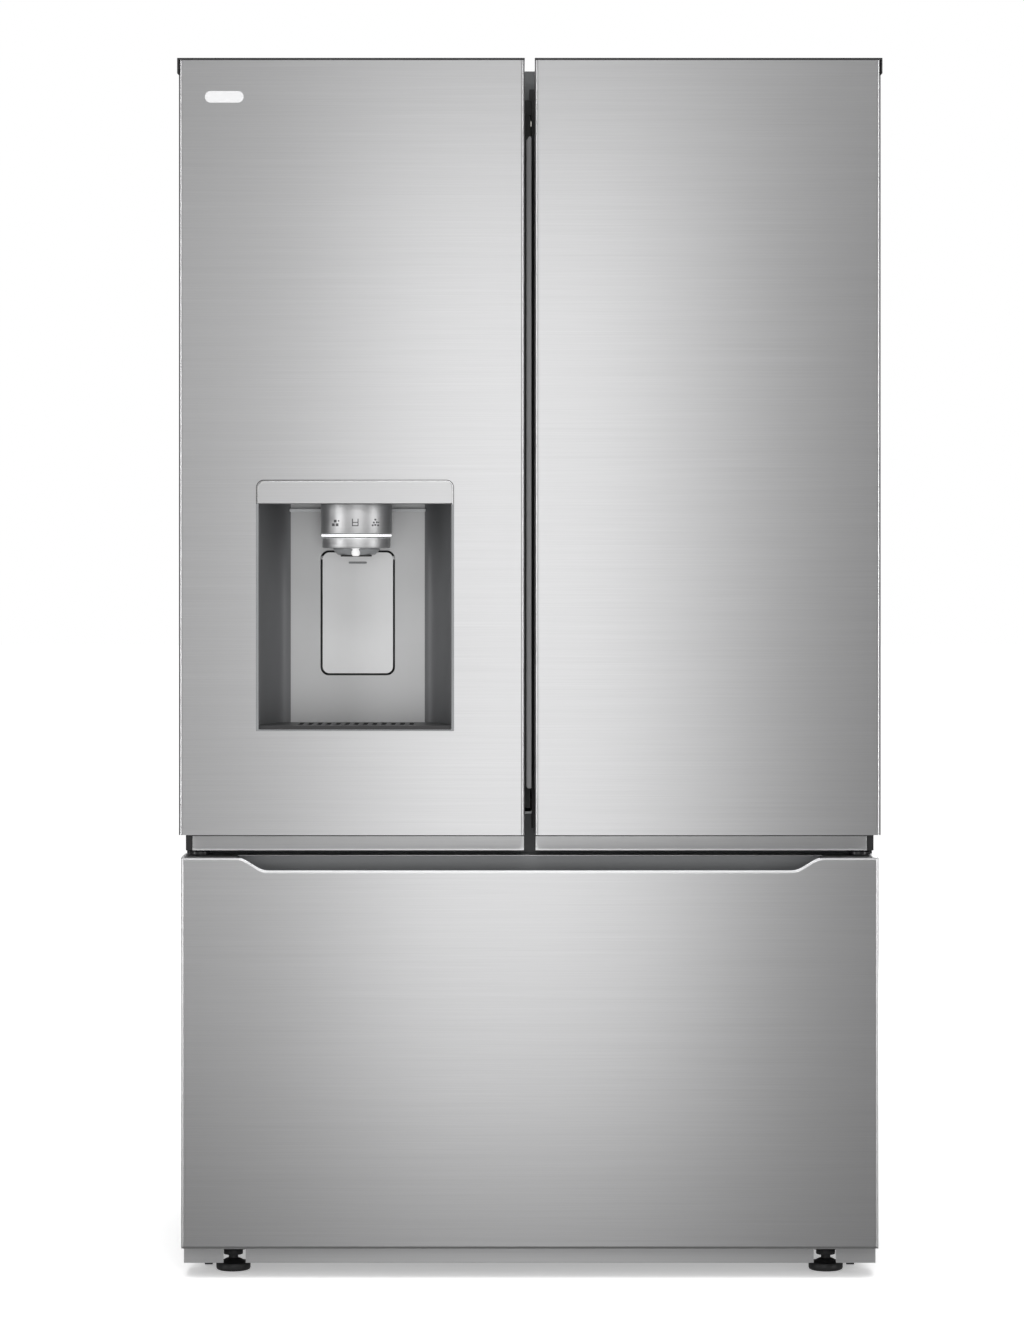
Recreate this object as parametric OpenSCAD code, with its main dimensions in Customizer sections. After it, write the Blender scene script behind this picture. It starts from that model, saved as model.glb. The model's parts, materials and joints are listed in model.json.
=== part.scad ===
// French door refrigerator: two upper doors over one freezer drawer, with a
// water and ice dispenser in the left door.
// Millimetres. +Z is up, the doors face -Y, and the origin is on the floor
// under the middle of the body.

/* [Overall size] */
// Width between the cabinet's side faces
case_w = 900; // [890:2:910]
// Height to the top of the door caps
total_h = 1580; // [1570:2:1600]
// Depth from the door faces to the tip of the water fitting
total_d = 730; // [730:2:760]
// Height of the cabinet's lower edge above the floor
case_low = 40; // [40:1:44]

/* [Doors] */
// Thickness of each door without its gasket
door_t = 76; // [74:1:80]
// Gap between the back of a door and the cabinet, filled by the gasket
gasket_t = 12; // [12:1:14]
// How far the upper doors stand out past each side of the cabinet
door_overhang = 4; // [4:1:6]
// Gap between the two upper doors
door_gap = 13; // [13:1:15]
// Lower edge of the upper doors, at their recessed bottom caps
door_low = 553; // [553:1:556]
// Top edge of the freezer drawer
drawer_top = 546; // [540:1:546]
// Radius of the folded edges of the door skins
edge_r = 5; // [3:1:6]

/* [Dispenser] */
// Distance of the dispenser's middle from the middle of the refrigerator
disp_x = -226; // [-230:1:-222]
// Width of the dispenser's opening in the door
disp_w = 256; // [250:1:260]
// Lower edge of the dispenser's opening
disp_low = 709.5; // [705:0.5:715]
// Height of the dispenser, hood included
disp_h = 325; // [320:1:330]
// Height of the hood over the alcove
hood_h = 31; // [28:1:34]
// Depth of the alcove
alcove_d = 100; // [90:1:100]

/* [Interior] */
// Thickness of the insulated side walls
wall_t = 50; // [50:1:55]
// Height of the lower glass shelves
shelf_low = 1090; // [1070:5:1110]
// Height of the upper glass shelves
shelf_high = 1300; // [1280:5:1320]
// Depth of the bins on the doors
bin_d = 90; // [80:1:92]

/* [Hidden] */

// Sheet thicknesses and small parts
sheet = 1.2;
skin_t = 1;
liner_t = 3;
tub_t = 3;
fitting_l = 15;
pin_r = 5;
pin_play = 0.05;

// Cabinet, from the driving dimensions
front_y = -total_d / 2;
back_y = total_d / 2;
door_back = front_y + door_t;
case_front = door_back + gasket_t;
case_back = back_y - fitting_l;
case_hw = case_w / 2;
case_top = total_h - 8;
door_hw = case_hw + door_overhang;
gap_hw = door_gap / 2;
cavity_hw = case_hw - wall_t;
mouth_hw = cavity_hw + liner_t;
foam_front = case_front + 20;
pan_top = 60;

// Fresh food compartment over the freezer, with a beam between their liners
fresh_low = 600;
fresh_top = case_top - 47;
fresh_back = 285;
freezer_low = 100;
freezer_top = 512;
freezer_back = 150;
machine_y = 212;
machine_top = 303;

// Doors: skin, hinge axis, handle pocket and bottom groove
skin_low = door_low + 22;
skin_top = total_h - 3;
skin_side_top = total_h - 13;
cap_low = total_h - 20;
hinge_x = case_hw - 20;
hinge_y = front_y + 45;
gasket_w = 16;
gasket_in = 412;
gasket_out = gasket_in + gasket_w;
grip_low = 633;
grip_high = 1482;
grip_d = 23;
grip_y = [front_y + 8, front_y + 47];
groove_y = [front_y + 2, front_y + 28];
groove_top = skin_low + 17;
dyke_out = 394;
dyke_in = 50;
dyke_w = 22;
dyke_y = door_back + 27;
bin_x = [73, 371];
bin_y = door_back + bin_d;
right_bins_z = [[632, 722], [850, 935], [1090, 1175]];
left_bins_z = [[632, 692], [1404, 1490]];
dairy_z = [1340, 1430];
ice_z = [1050, 1395];
ice_y = [door_back, door_back + 117];
ice_t = 6;

// Freezer drawer, its scooped handle and its rails
drawer_hw = case_hw + 1;
drawer_low = case_low;
scoop_d = 17;
scoop_hw = 339;
scoop_ramp = 41;
pocket_y = [front_y + 7, front_y + 43];
pocket_low = drawer_top - 48;
rail_t = 7.7;
rail_gap = 0.3;
rail_z = 352;
rail_y = [case_front + 15, 90];
basket_hw = cavity_hw - 34;
basket_top = rail_z + 17;
basket_y = [case_front + 19, 82];

// Dispenser
hood_low = disp_low + disp_h - hood_h;
alcove_floor = disp_low + 2;
alcove_hw = disp_w / 2 - 3;
alcove_back_hw = 88.5;
alcove_y = front_y + alcove_d;
housing_hw = disp_w / 2 + 3;
housing_back = alcove_y + 31;
head_r = 46.5;
head_y = front_y + 53;
head_low = hood_low - 39;
paddle_w = 92.5;
paddle_low = 781;
paddle_h = 159;
paddle_gap = 2.5;
paddle_axis = [alcove_y + 5, paddle_low + paddle_h - 7];

// Feet and rollers
foot_x = 388.5;
foot_y = case_front - 6;
foot_r = 22.5;
stem_r = 5;
front_roller = [423, -250, 15];
rear_roller = [400, 300, 20];
axle_r = 4;

// Mullion flap on the left door
mullion_x = [-40, 1.5];
mullion_y = [case_front, case_front + 15];
mullion_pin = [-36, case_front + 7];
mullion_z = [604, fresh_top - 4];
ear_z = [650, 1480];

// Machine compartment and evaporator
comp_x = 250;
comp_y = 281;
can_r = 58;
fan_x = 30;
cond_fan = [fan_x, comp_y, 170];
evap_fan = [0, 108, 440];
evap_fan_r = 48;
water_at = [-390, 140];
water_r = 6.35;
gland_at = [360, 240];
gland_r = 5;
cover_y = 96;

// Shelves and drawers in the fresh food compartment
shelf_y = [-150, 258];
drawer_y = [-110, 235];
crisper_z = [712, 880];
pantry_z = [606, 700];
cover_z = 885;
tub_hw = cavity_hw - 8;

// ---- Helper shapes ----

// A box given by its limits on the three axes
module block(x, y, z) {
    translate([x[0], y[0], z[0]])
        cube([x[1] - x[0], y[1] - y[0], z[1] - z[0]]);
}

// A rectangle with four round corners, by its limits
module round_rect(x, y, r) {
    translate([x[0] + r, y[0]])
        square([x[1] - x[0] - 2 * r, y[1] - y[0]]);
    translate([x[0], y[0] + r])
        square([x[1] - x[0], y[1] - y[0] - 2 * r]);
    for (cx = [x[0] + r, x[1] - r], cy = [y[0] + r, y[1] - r])
        translate([cx, cy])
            circle(r = r, $fn = 32);
}

// A rectangle whose two corners at the low-y side are round
module round_front(x, y, r) {
    translate([x[0] + r, y[0]])
        square([x[1] - x[0] - 2 * r, y[1] - y[0]]);
    translate([x[0], y[0] + r])
        square([x[1] - x[0], y[1] - y[0] - r]);
    for (cx = [x[0] + r, x[1] - r])
        translate([cx, y[0] + r])
            circle(r = r, $fn = 48);
}

// Extrudes a shape drawn in x and z through a range of y
module upright(y) {
    translate([0, y[1], 0])
        rotate([90, 0, 0])
            linear_extrude(y[1] - y[0])
                children();
}

// The children and their mirror image across the middle of the refrigerator
module both_sides() {
    children();
    mirror([1, 0, 0])
        children();
}

// An open-topped tub with round upright corners
module tub(x, y, z, t, r) {
    difference() {
        translate([0, 0, z[0]])
            linear_extrude(z[1] - z[0])
                round_rect(x, y, r);
        translate([0, 0, z[0] + t])
            linear_extrude(z[1] - z[0])
                round_rect([x[0] + t, x[1] - t], [y[0] + t, y[1] - t], r - t);
    }
}

// A flat rectangular ring in the door plane
module frame_ring(x, z, w, y) {
    difference() {
        block(x, y, z);
        block([x[0] + w, x[1] - w], [y[0] - 1, y[1] + 1], [z[0] + w, z[1] - w]);
    }
}

// Flat tubes along x between two upright headers, with thin fins across them
module finned_coil(x, y, z, rows, fins) {
    pitch = (z[1] - z[0]) / rows;
    for (end = [x[0], x[1] - 8])
        block([end, end + 8], y, z);
    for (i = [0 : rows - 1])
        block([x[0] + 4, x[1] - 4], [y[0] + 5, y[1] - 5],
            [z[0] + (i + 0.5) * pitch - 2, z[0] + (i + 0.5) * pitch + 2]);
    for (i = [1 : fins])
        block([x[0] + i * (x[1] - x[0]) / (fins + 1), x[0] + i * (x[1] - x[0]) / (fins + 1) + 1.2],
            [y[0] + 1, y[1] - 1], [z[0] + 3, z[1] - 3]);
}

// A fan wheel along +z with a bored hub and slanted blades
module fan_wheel(r, hub_r, depth, blades, shaft_r) {
    difference() {
        union() {
            cylinder(r = hub_r, h = depth);
            for (i = [0 : blades - 1])
                rotate([0, 0, i * 360 / blades])
                    translate([(hub_r + r) / 2 - 1, 0, depth / 2])
                        rotate([35, 0, 0])
                            cube([r - hub_r, r * 0.55, 1.6], center = true);
        }
        translate([0, 0, -1])
            cylinder(r = shaft_r + pin_play, h = depth + 2);
    }
}

// ---- Cabinet ----

module cabinet_wrapper() color("gray") difference() {
    block([-case_hw, case_hw], [case_front, case_back], [case_low, case_top]);
    block([-case_hw + sheet, case_hw - sheet], [case_front + sheet, case_back + 1],
        [case_low - 1, case_top - sheet]);
    block([-mouth_hw, mouth_hw], [case_front - 1, case_front + 2 * sheet],
        [case_low - 1, fresh_top + liner_t]);
}

// Back sheet with the step over the machine compartment
module rear_panel() color("silver") {
    block([-case_hw, case_hw], [case_back, case_back + sheet], [machine_top, case_top]);
    block([-case_hw + sheet, case_hw - sheet], [machine_y, case_back],
        [machine_top - sheet, machine_top]);
    block([-case_hw + sheet, case_hw - sheet], [machine_y, machine_y + sheet],
        [pan_top, machine_top - sheet]);
}

module cabinet_foam() color("khaki") difference() {
    block([-case_hw + sheet, case_hw - sheet], [foam_front, case_back],
        [pan_top, case_top - sheet]);
    block([-mouth_hw, mouth_hw], [case_front, fresh_back + liner_t],
        [fresh_low - liner_t, fresh_top + liner_t]);
    block([-mouth_hw, mouth_hw], [case_front, freezer_back + liner_t],
        [freezer_low - liner_t, freezer_top + liner_t]);
    block([-case_hw, case_hw], [machine_y, case_back + 1], [pan_top - 1, machine_top]);
}

// White inner shell with the ledges that carry the drawers and their cover
module fresh_liner() color("white") {
    difference() {
        block([-mouth_hw, mouth_hw], [case_front, fresh_back + liner_t],
            [fresh_low - liner_t, fresh_top + liner_t]);
        block([-cavity_hw, cavity_hw], [case_front - 1, fresh_back], [fresh_low, fresh_top]);
    }
    both_sides() {
        for (z = [crisper_z[1], pantry_z[1]])
            block([cavity_hw - 6.5, cavity_hw + 1], [drawer_y[0], drawer_y[1]], [z - 12, z - 4.3]);
        block([cavity_hw - 6, cavity_hw + 1], [drawer_y[0], shelf_y[1]],
            [cover_z - 4, cover_z - 0.1]);
    }
}

module freezer_liner() color("white") difference() {
    block([-mouth_hw, mouth_hw], [case_front, freezer_back + liner_t],
        [freezer_low - liner_t, freezer_top + liner_t]);
    block([-cavity_hw, cavity_hw], [case_front - 1, freezer_back], [freezer_low, freezer_top]);
}

// Steel beam between the compartments and the rail under the freezer
module front_rails() color("darkgray") {
    for (z = [[freezer_top + liner_t, fresh_low - liner_t], [pan_top, freezer_low - liner_t]]) {
        block([-mouth_hw, mouth_hw], [case_front, case_front + sheet], z);
        for (lip = [[z[0], z[0] + sheet], [z[1] - sheet, z[1]]])
            block([-mouth_hw, mouth_hw], [case_front, foam_front - 0.5], lip);
    }
}

// Bottom pan with foot bosses, roller brackets and axles
module base_frame() color("dimgray") {
    block([-case_hw + sheet, case_hw - sheet], [foam_front, case_back], [pan_top - 4, pan_top - 0.1]);
    both_sides() {
        difference() {
            union() {
                block([foot_x - 16, foot_x + 16], [foot_y - 15, foam_front + 8], [28, 38]);
                block([foot_x - 16, foot_x + 16], [foam_front, foam_front + 8], [28, pan_top - 3]);
            }
            translate([foot_x, foot_y, 20])
                cylinder(r = stem_r + pin_play, h = 30);
        }
        roller_bracket(front_roller, 10);
        roller_bracket(rear_roller, 14);
        block([foot_x + 20, foot_x + 28], [foot_y + 12, foot_y + 15.5], [20, pan_top - 4]);
    }
}

module roller_bracket(place, width) {
    for (side = [-1, 1])
        translate([place[0] + side * (width / 2 + 1.6) - 1.1, place[1] - 9, place[2] - 7])
            cube([2.2, 18, pan_top - 3 - place[2] + 7]);
    translate([place[0] - width / 2 - 2, place[1], place[2]])
        rotate([0, 90, 0])
            cylinder(r = axle_r, h = width + 4);
}

// Toe plate with its returns, and a notch in front of each foot
module kick_plate() color("silver") difference() {
    union() {
        block([-case_hw, case_hw], [front_y + 35, front_y + 38], [16, case_low - 1.5]);
        block([-case_hw, case_hw], [front_y + 38, front_y + 55], [case_low - 2.9, case_low - 1.5]);
        both_sides()
            block([case_hw - 2, case_hw], [front_y + 38, case_front], [16, case_low - 1.5]);
        both_sides()
            block([foot_x + 20, foot_x + 28], [front_y + 38, foot_y + 12], [22, 34]);
    }
    both_sides()
        block([foot_x - 19, foot_x + 10], [front_y + 30, front_y + 60], [10, 34]);
}

// Hermetic can on its foot plate, with its cover and the fan motor's stand
module compressor() color("black") {
    translate([comp_x, comp_y, 0]) {
        translate([0, 0, 78])
            cylinder(r = can_r, h = 110);
        translate([0, 0, 188])
            intersection() {
                sphere(r = can_r);
                translate([-60, -60, -1])
                    cube([120, 120, 45]);
            }
        translate([-80, -52, 74])
            cube([160, 104, 5]);
        for (x = [-68, 68], y = [-42, 42])
            translate([x, y, pan_top])
                cylinder(r = 9, h = 14.5);
    }
    translate([comp_x + 50, comp_y - 26, 110])
        cube([34, 52, 60]);
    translate([cond_fan[0] + 24, comp_y, cond_fan[2]])
        rotate([0, 90, 0])
            cylinder(r = 22, h = 34);
    translate([cond_fan[0] - 2, comp_y, cond_fan[2]])
        rotate([0, 90, 0])
            cylinder(r = 3, h = 30);
    block([cond_fan[0] + 34, cond_fan[0] + 46], [comp_y - 9, comp_y + 9], [pan_top, cond_fan[2]]);
}

// Warm coil beside the compressor
module condenser_coil() color("black")
    finned_coil([-300, -90], [comp_y - 45, comp_y + 45], [pan_top, 280], 7, 10);

module rear_cover() color("gray") difference() {
    union() {
        block([-case_hw + 1.5, case_hw - 1.5], [case_back, case_back + 2],
            [pan_top, machine_top - 0.5]);
        translate([gland_at[0], case_back + 2, gland_at[1]])
            rotate([-90, 0, 0])
                cylinder(r = 12, h = 6);
    }
    for (row = [0 : 5], col = [0 : 11])
        block([-330 + col * 50, -292 + col * 50], [case_back - 1, case_back + 3],
            [100 + row * 26, 106 + row * 26]);
    translate([gland_at[0], case_back - 1, gland_at[1]])
        rotate([-90, 0, 0])
            cylinder(r = gland_r, h = 12);
    translate([water_at[0], case_back - 1, water_at[1]])
        rotate([-90, 0, 0])
            cylinder(r = 9, h = 6);
}

// Solenoid valve with the threaded water fitting that stands out at the back
module water_valve() color("slategray") translate([water_at[0], 0, water_at[1]]) {
    translate([-20, case_back - 52, -22])
        cube([40, 42, 44]);
    translate([0, case_back - 12, 0])
        rotate([-90, 0, 0])
            cylinder(r = 8.5, h = 14);
    translate([0, case_back + 2, 0])
        rotate([-90, 0, 0])
            cylinder(r = water_r, h = back_y - case_back - 2);
    translate([-12, case_back - 46, 22])
        cube([24, 30, 26]);
}

module evaporator_cover() color("white") difference() {
    block([-cavity_hw + 0.5, cavity_hw - 0.5], [cover_y, cover_y + 3],
        [freezer_low + 0.5, freezer_top - 0.5]);
    translate([evap_fan[0], cover_y - 1, evap_fan[2]])
        rotate([-90, 0, 0])
            cylinder(r = evap_fan_r, h = 5);
    for (x = [-330 : 55 : 300], z = [125, 145, 165])
        block([x, x + 40], [cover_y - 1, cover_y + 4], [z, z + 6]);
}

// Finned tube in the freezer's back, with the fan motor above it
module evaporator_coil() color("silver") {
    finned_coil([-320, 320], [107, 145], [112, 350], 7, 14);
    translate([evap_fan[0], 126, evap_fan[2]])
        rotate([-90, 0, 0])
            cylinder(r = 18, h = 23.9);
    translate([evap_fan[0], evap_fan[1] - 2, evap_fan[2]])
        rotate([-90, 0, 0])
            cylinder(r = 3, h = 20);
}

// Cold air duct on the back wall, with outlets under each shelf
module air_duct() color("whitesmoke") difference() {
    block([-88, 88], [fresh_back - 20, fresh_back], [910, 1500]);
    block([-85, 85], [fresh_back - 17, fresh_back + 1], [905, 1497]);
    for (z = [1000, 1215, 1420])
        for (side = [-1, 1])
            block([side * 45 - 28, side * 45 + 28], [fresh_back - 21, fresh_back - 16],
                [z, z + 14]);
}

module ceiling_light() color("ivory")
    translate([0, 0, fresh_top - 9])
        linear_extrude(9)
            round_rect([-115, 115], [-190, -110], 12);

// Slotted steel strips that the shelf brackets hook into
module shelf_tracks() color("silver")
    for (x = [-370, -110, 110, 370])
        difference() {
            block([x - 8, x + 8], [fresh_back - 4, fresh_back], [915, 1500]);
            for (z = [940 : 40 : 1480])
                block([x - 2, x + 2], [fresh_back - 5, fresh_back - 1], [z, z + 16]);
        }

// Frames of the four glass shelves with their brackets, and the drawers' cover
module shelf_frames() color("lightgray") {
    for (z = [shelf_low, shelf_high])
        both_sides() {
            glass_frame([8, cavity_hw - 8], shelf_y, z);
            for (x = [110, 370])
                shelf_bracket(x, z);
        }
    glass_frame([-cavity_hw + 0.5, cavity_hw - 0.5], [drawer_y[0] - 5, shelf_y[1]], cover_z);
    block([-1.5, 1.5], drawer_y, [crisper_z[1] - 12, cover_z + 1]);
    block([-6.5, 6.5], drawer_y, [crisper_z[1] - 12, crisper_z[1] - 4.3]);
}

module glass_frame(x, y, z) difference() {
    block(x, y, [z, z + 12]);
    block([x[0] + 17, x[1] - 17], [y[0] + 17, y[1] - 17], [z - 1, z + 13]);
    block([x[0] + 10, x[1] - 10], [y[0] + 10, y[1] - 10], [z + 6, z + 13]);
}

module shelf_bracket(x, z)
    translate([x - 1.5, 0, 0])
        rotate([90, 0, 90])
            linear_extrude(3)
                polygon([[fresh_back - 4, z + 4], [fresh_back - 4, z - 60], [fresh_back - 30, z - 60],
                    [-60, z - 4], [-60, z + 0.5], [shelf_y[1] - 5, z + 0.5], [shelf_y[1] - 1, z + 4]]);

module shelf_glass() color("lightcyan") {
    for (z = [shelf_low, shelf_high])
        both_sides()
            glass_plate([8, cavity_hw - 8], shelf_y, z);
    glass_plate([-cavity_hw + 0.5, cavity_hw - 0.5], [drawer_y[0] - 5, shelf_y[1]], cover_z);
}

module glass_plate(x, y, z)
    block([x[0] + 10.3, x[1] - 10.3], [y[0] + 10.3, y[1] - 10.3], [z + 6, z + 10.5]);

// ---- Hinges ----

// Top and middle hinge plates of both doors, each with its pin
module hinge_brackets() color("dimgray") both_sides() {
    difference() {
        hinge_plate([case_top, case_top + 4], -190, 15);
        translate([hinge_x, -220, case_top - 1])
            cylinder(r = 3.2, h = 6);
    }
    translate([hinge_x, hinge_y, case_top - 24])
        cylinder(r = pin_r, h = 25);
    hinge_plate([door_low - 5.5, door_low - 2], case_front, 14);
    block([case_hw - 20, case_hw - 1], [case_front - 2.4, case_front], [door_low - 24, door_low - 2]);
    translate([hinge_x, hinge_y, door_low - 3])
        cylinder(r = pin_r, h = 22);
}

module hinge_plate(z, y_end, r)
    translate([0, 0, z[0]])
        linear_extrude(z[1] - z[0]) {
            translate([hinge_x, hinge_y])
                circle(r = r);
            translate([hinge_x - r, hinge_y])
                square([2 * r, y_end - hinge_y]);
        }

module hinge_covers() color("dimgray") both_sides() difference() {
    translate([0, 0, case_top])
        linear_extrude(total_h - case_top) {
            translate([hinge_x, hinge_y])
                circle(r = 20);
            translate([hinge_x - 18, hinge_y])
                square([36, 150]);
        }
    hinge_plate([case_top - 1, case_top + 4.1], -190, 15.3);
}

// ---- Feet and rollers ----

// Levelling foot: bevelled disc, hexagon and stem
module foot() {
    cylinder(r1 = foot_r - 3, r2 = foot_r, h = 3);
    translate([0, 0, 3])
        cylinder(r = foot_r, h = 5);
    translate([0, 0, 8])
        cylinder(r1 = foot_r, r2 = foot_r - 9, h = 4);
    translate([0, 0, 11])
        cylinder(r = 9, h = 9, $fn = 6);
    translate([0, 0, 19])
        cylinder(r = stem_r, h = 18.5);
}

module left_foot() color("black") translate([-foot_x, foot_y, 0]) foot();
module right_foot() color("black") translate([foot_x, foot_y, 0]) foot();

module roller_pair(place, width) both_sides()
    translate([place[0] - width / 2, place[1], place[2]])
        rotate([0, 90, 0])
            difference() {
                cylinder(r = place[2] - (place[2] < 16 ? 0.4 : 0), h = width);
                translate([0, 0, -1])
                    cylinder(r = axle_r + pin_play, h = width + 2);
            }

module front_rollers() color("black") roller_pair(front_roller, 10);
module rear_rollers() color("black") roller_pair(rear_roller, 14);

// ---- Fans ----

module condenser_fan() color("black")
    translate(cond_fan)
        rotate([0, 90, 0])
            fan_wheel(54, 14, 20, 5, 3);

module evaporator_fan() color("white")
    translate(evap_fan)
        rotate([-90, 0, 0])
            fan_wheel(44, 12, 14, 7, 3);

// ---- Drawers inside the fresh food compartment ----

// Clear drawer with a rim that slides on ledges and a pull lip at the front
module sliding_tub(x, z, rim) {
    tub(x, drawer_y, z, tub_t, 12);
    for (i = [0, 1])
        block(i == 0 ? [x[0] - rim[0], x[0] + 1] : [x[1] - 1, x[1] + rim[1]],
            [drawer_y[0] + 12, drawer_y[1] - 12], [z[1] - 4, z[1]]);
    block([x[0] + 14, x[1] - 14], [drawer_y[0] - 12, drawer_y[0] + 1], [z[1] - 3, z[1]]);
}

module right_crisper() color("aliceblue")
    sliding_tub([8, tub_hw], crisper_z, [5.5, 6]);
module left_crisper() color("aliceblue") mirror([1, 0, 0])
    sliding_tub([8, tub_hw], crisper_z, [5.5, 6]);
module pantry_drawer() color("aliceblue")
    sliding_tub([-tub_hw, tub_hw], pantry_z, [6, 6]);

// ---- Upper doors, drawn as the right door: hinge at +x, handle side at -x ----

module door_skin() difference() {
    union() {
        translate([0, 0, skin_low])
            linear_extrude(skin_side_top - skin_low)
                skin_outline();
        translate([0, 0, skin_side_top - 1])
            linear_extrude(skin_top - skin_side_top + 1)
                intersection() {
                    skin_outline();
                    translate([0, front_y])
                        square([case_w, 12]);
                }
    }
    block([gap_hw - 1, gap_hw + 5], grip_y, [grip_low, grip_high]);
}

module skin_outline() difference() {
    round_front([gap_hw, door_hw], [front_y, door_back - 3], edge_r);
    round_front([gap_hw + skin_t, door_hw - skin_t], [front_y + skin_t, door_back], edge_r - skin_t);
}

// Foam filled core with the white inner shell and its raised rim
module door_core() {
    core_x = [gap_hw + skin_t + 0.1, door_hw - skin_t - 0.1];
    difference() {
        union() {
            translate([0, 0, skin_low + 2])
                linear_extrude(cap_low - skin_low - 2)
                    round_front(core_x, [front_y + skin_t + 0.1, door_back], edge_r - skin_t);
            frame_ring([dyke_in, dyke_out], [fresh_low + 6, fresh_top - 7], dyke_w,
                [door_back - 1, dyke_y]);
        }
        block([core_x[0] - 1, core_x[1] + 1], groove_y, [skin_low, groove_top]);
        block([gap_hw - 1, gap_hw + grip_d], grip_y, [grip_low, grip_high]);
        translate([hinge_x, hinge_y, cap_low - 14])
            cylinder(r = 8, h = 20);
    }
}

// Top cap with its ear, and the recessed bottom cap, each bored for a hinge pin
module door_caps() difference() {
    union() {
        cap_x = [gap_hw + skin_t + 0.1, door_hw - skin_t - 0.1];
        block(cap_x, [front_y + edge_r + 1, door_back], [cap_low, cap_low + 7]);
        block(cap_x, [front_y + edge_r + 1, front_y + 12], [cap_low + 6, skin_top]);
        block([gap_hw, door_hw + 2], [front_y, front_y + 12], [skin_top, total_h]);
        upright([front_y, front_y + 12])
            polygon([[door_hw, skin_top + 1], [door_hw, cap_low - 2], [door_hw + 2, cap_low],
                [door_hw + 2, skin_top + 1]]);
        block([gap_hw + 1.5, door_hw - 7], [front_y + 30, door_back - 1], [door_low, skin_low + 2]);
    }
    for (z = [door_low - 1, cap_low - 1])
        translate([hinge_x, hinge_y, z])
            cylinder(r = pin_r + pin_play, h = 26);
}

module door_gasket()
    frame_ring([gap_hw + 1.5, gasket_out], [skin_low + 2, case_top - 22], gasket_w,
        [door_back, case_front - 0.3]);

// Channel that lines the handle pocket in the door's side
module side_grip() difference() {
    block([gap_hw + 0.1, gap_hw + grip_d - 0.1], [grip_y[0] + 0.1, grip_y[1] - 0.1],
        [grip_low + 0.1, grip_high - 0.1]);
    block([gap_hw - 1, gap_hw + grip_d - 2.1], [grip_y[0] + 2.1, grip_y[1] - 2.1],
        [grip_low + 2.1, grip_high - 2.1]);
}

module door_bin(z) {
    tub(bin_x, [door_back, bin_y], z, tub_t, 14);
}

module right_door_skin() color("silver") door_skin();
module right_door_core() color("white") door_core();
module right_door_caps() color("dimgray") door_caps();
module right_gasket() color("gainsboro") door_gasket();
module right_side_grip() color("dimgray") side_grip();

module right_door_bins() color("aliceblue") {
    for (z = right_bins_z)
        door_bin(z);
    tub(bin_x, [door_back, bin_y - 8], dairy_z, tub_t, 10);
}

// Flip-up lid of the dairy bin with its hinge barrel
module dairy_lid() color("aliceblue") {
    block([bin_x[0] + 1, bin_x[1] - 1], [door_back + 5, bin_y - 4],
        [dairy_z[1] + 3, dairy_z[1] + 6]);
    block([bin_x[0] + 1, bin_x[1] - 1], [bin_y - 7.5, bin_y - 4],
        [dairy_z[1] - 30, dairy_z[1] + 6]);
    translate([bin_x[0] + 1, door_back + 5, dairy_z[1] + 4.5])
        rotate([0, 90, 0])
            cylinder(r = 3, h = bin_x[1] - bin_x[0] - 2);
}

// ---- Left door: the same shell with the dispenser in it ----

module left_door_skin() color("silver") difference() {
    mirror([1, 0, 0])
        door_skin();
    upright([front_y - 1, front_y + 8])
        dispenser_outline(0);
}

// Outline of the dispenser in the door, with its round upper corners
module dispenser_outline(grow) {
    half = disp_w / 2 + grow;
    top = disp_low + disp_h + grow;
    translate([disp_x - half, disp_low - grow])
        square([2 * half, disp_h + 2 * grow - 10]);
    translate([disp_x - half + 10, top - 20])
        square([2 * half - 20, 20]);
    for (side = [-1, 1])
        translate([disp_x + side * (half - 10), top - 10])
            circle(r = 10, $fn = 32);
}

module left_door_core() color("white") difference() {
    union() {
        mirror([1, 0, 0])
            door_core();
        block([-bin_x[1] - 1, -bin_x[0] + 1], [door_back - 1, housing_back + 6], [702, 1042]);
        for (z = ear_z)
            block([-42.5, -31], [door_back - 1, mullion_pin[1] + 6], [z + 0.8, z + 19.2]);
    }
    block([disp_x - housing_hw - 0.1, disp_x + housing_hw + 0.1], [front_y, housing_back],
        [disp_low - 3.6, disp_low + disp_h + 2.6]);
    for (z = ear_z)
        translate([mullion_pin[0], mullion_pin[1], z])
            cylinder(r = 2.5 + pin_play, h = 20);
}

module left_door_caps() color("dimgray") mirror([1, 0, 0]) door_caps();
module left_gasket() color("gainsboro") mirror([1, 0, 0]) door_gasket();

// The left channel also carries the narrow lip that closes the gap to the right door
module left_side_grip() color("dimgray") {
    mirror([1, 0, 0])
        side_grip();
    block([-gap_hw - 1, 2.5], [grip_y[1] - 4, grip_y[1] - 0.1], [grip_low + 0.1, grip_high - 0.1]);
    block([-4.5, 2.5], [grip_y[1] - 9, grip_y[1] - 3], [grip_low + 0.1, grip_high - 0.1]);
}

// Plan of the alcove: straight mouth, side walls curving in to a flat back
function alcove_side(grow) = [for (t = [0 : 9 : 90])
    [alcove_back_hw + grow + (alcove_hw - alcove_back_hw) * cos(t), front_y + (alcove_d + grow) * sin(t)]];
function alcove_plan(grow) = concat(
    [[alcove_hw + grow, front_y - 2]],
    alcove_side(grow),
    [for (i = [10 : -1 : 0]) [-alcove_side(grow)[i][0], alcove_side(grow)[i][1]]],
    [[-alcove_hw - grow, front_y - 2]]);

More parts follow.
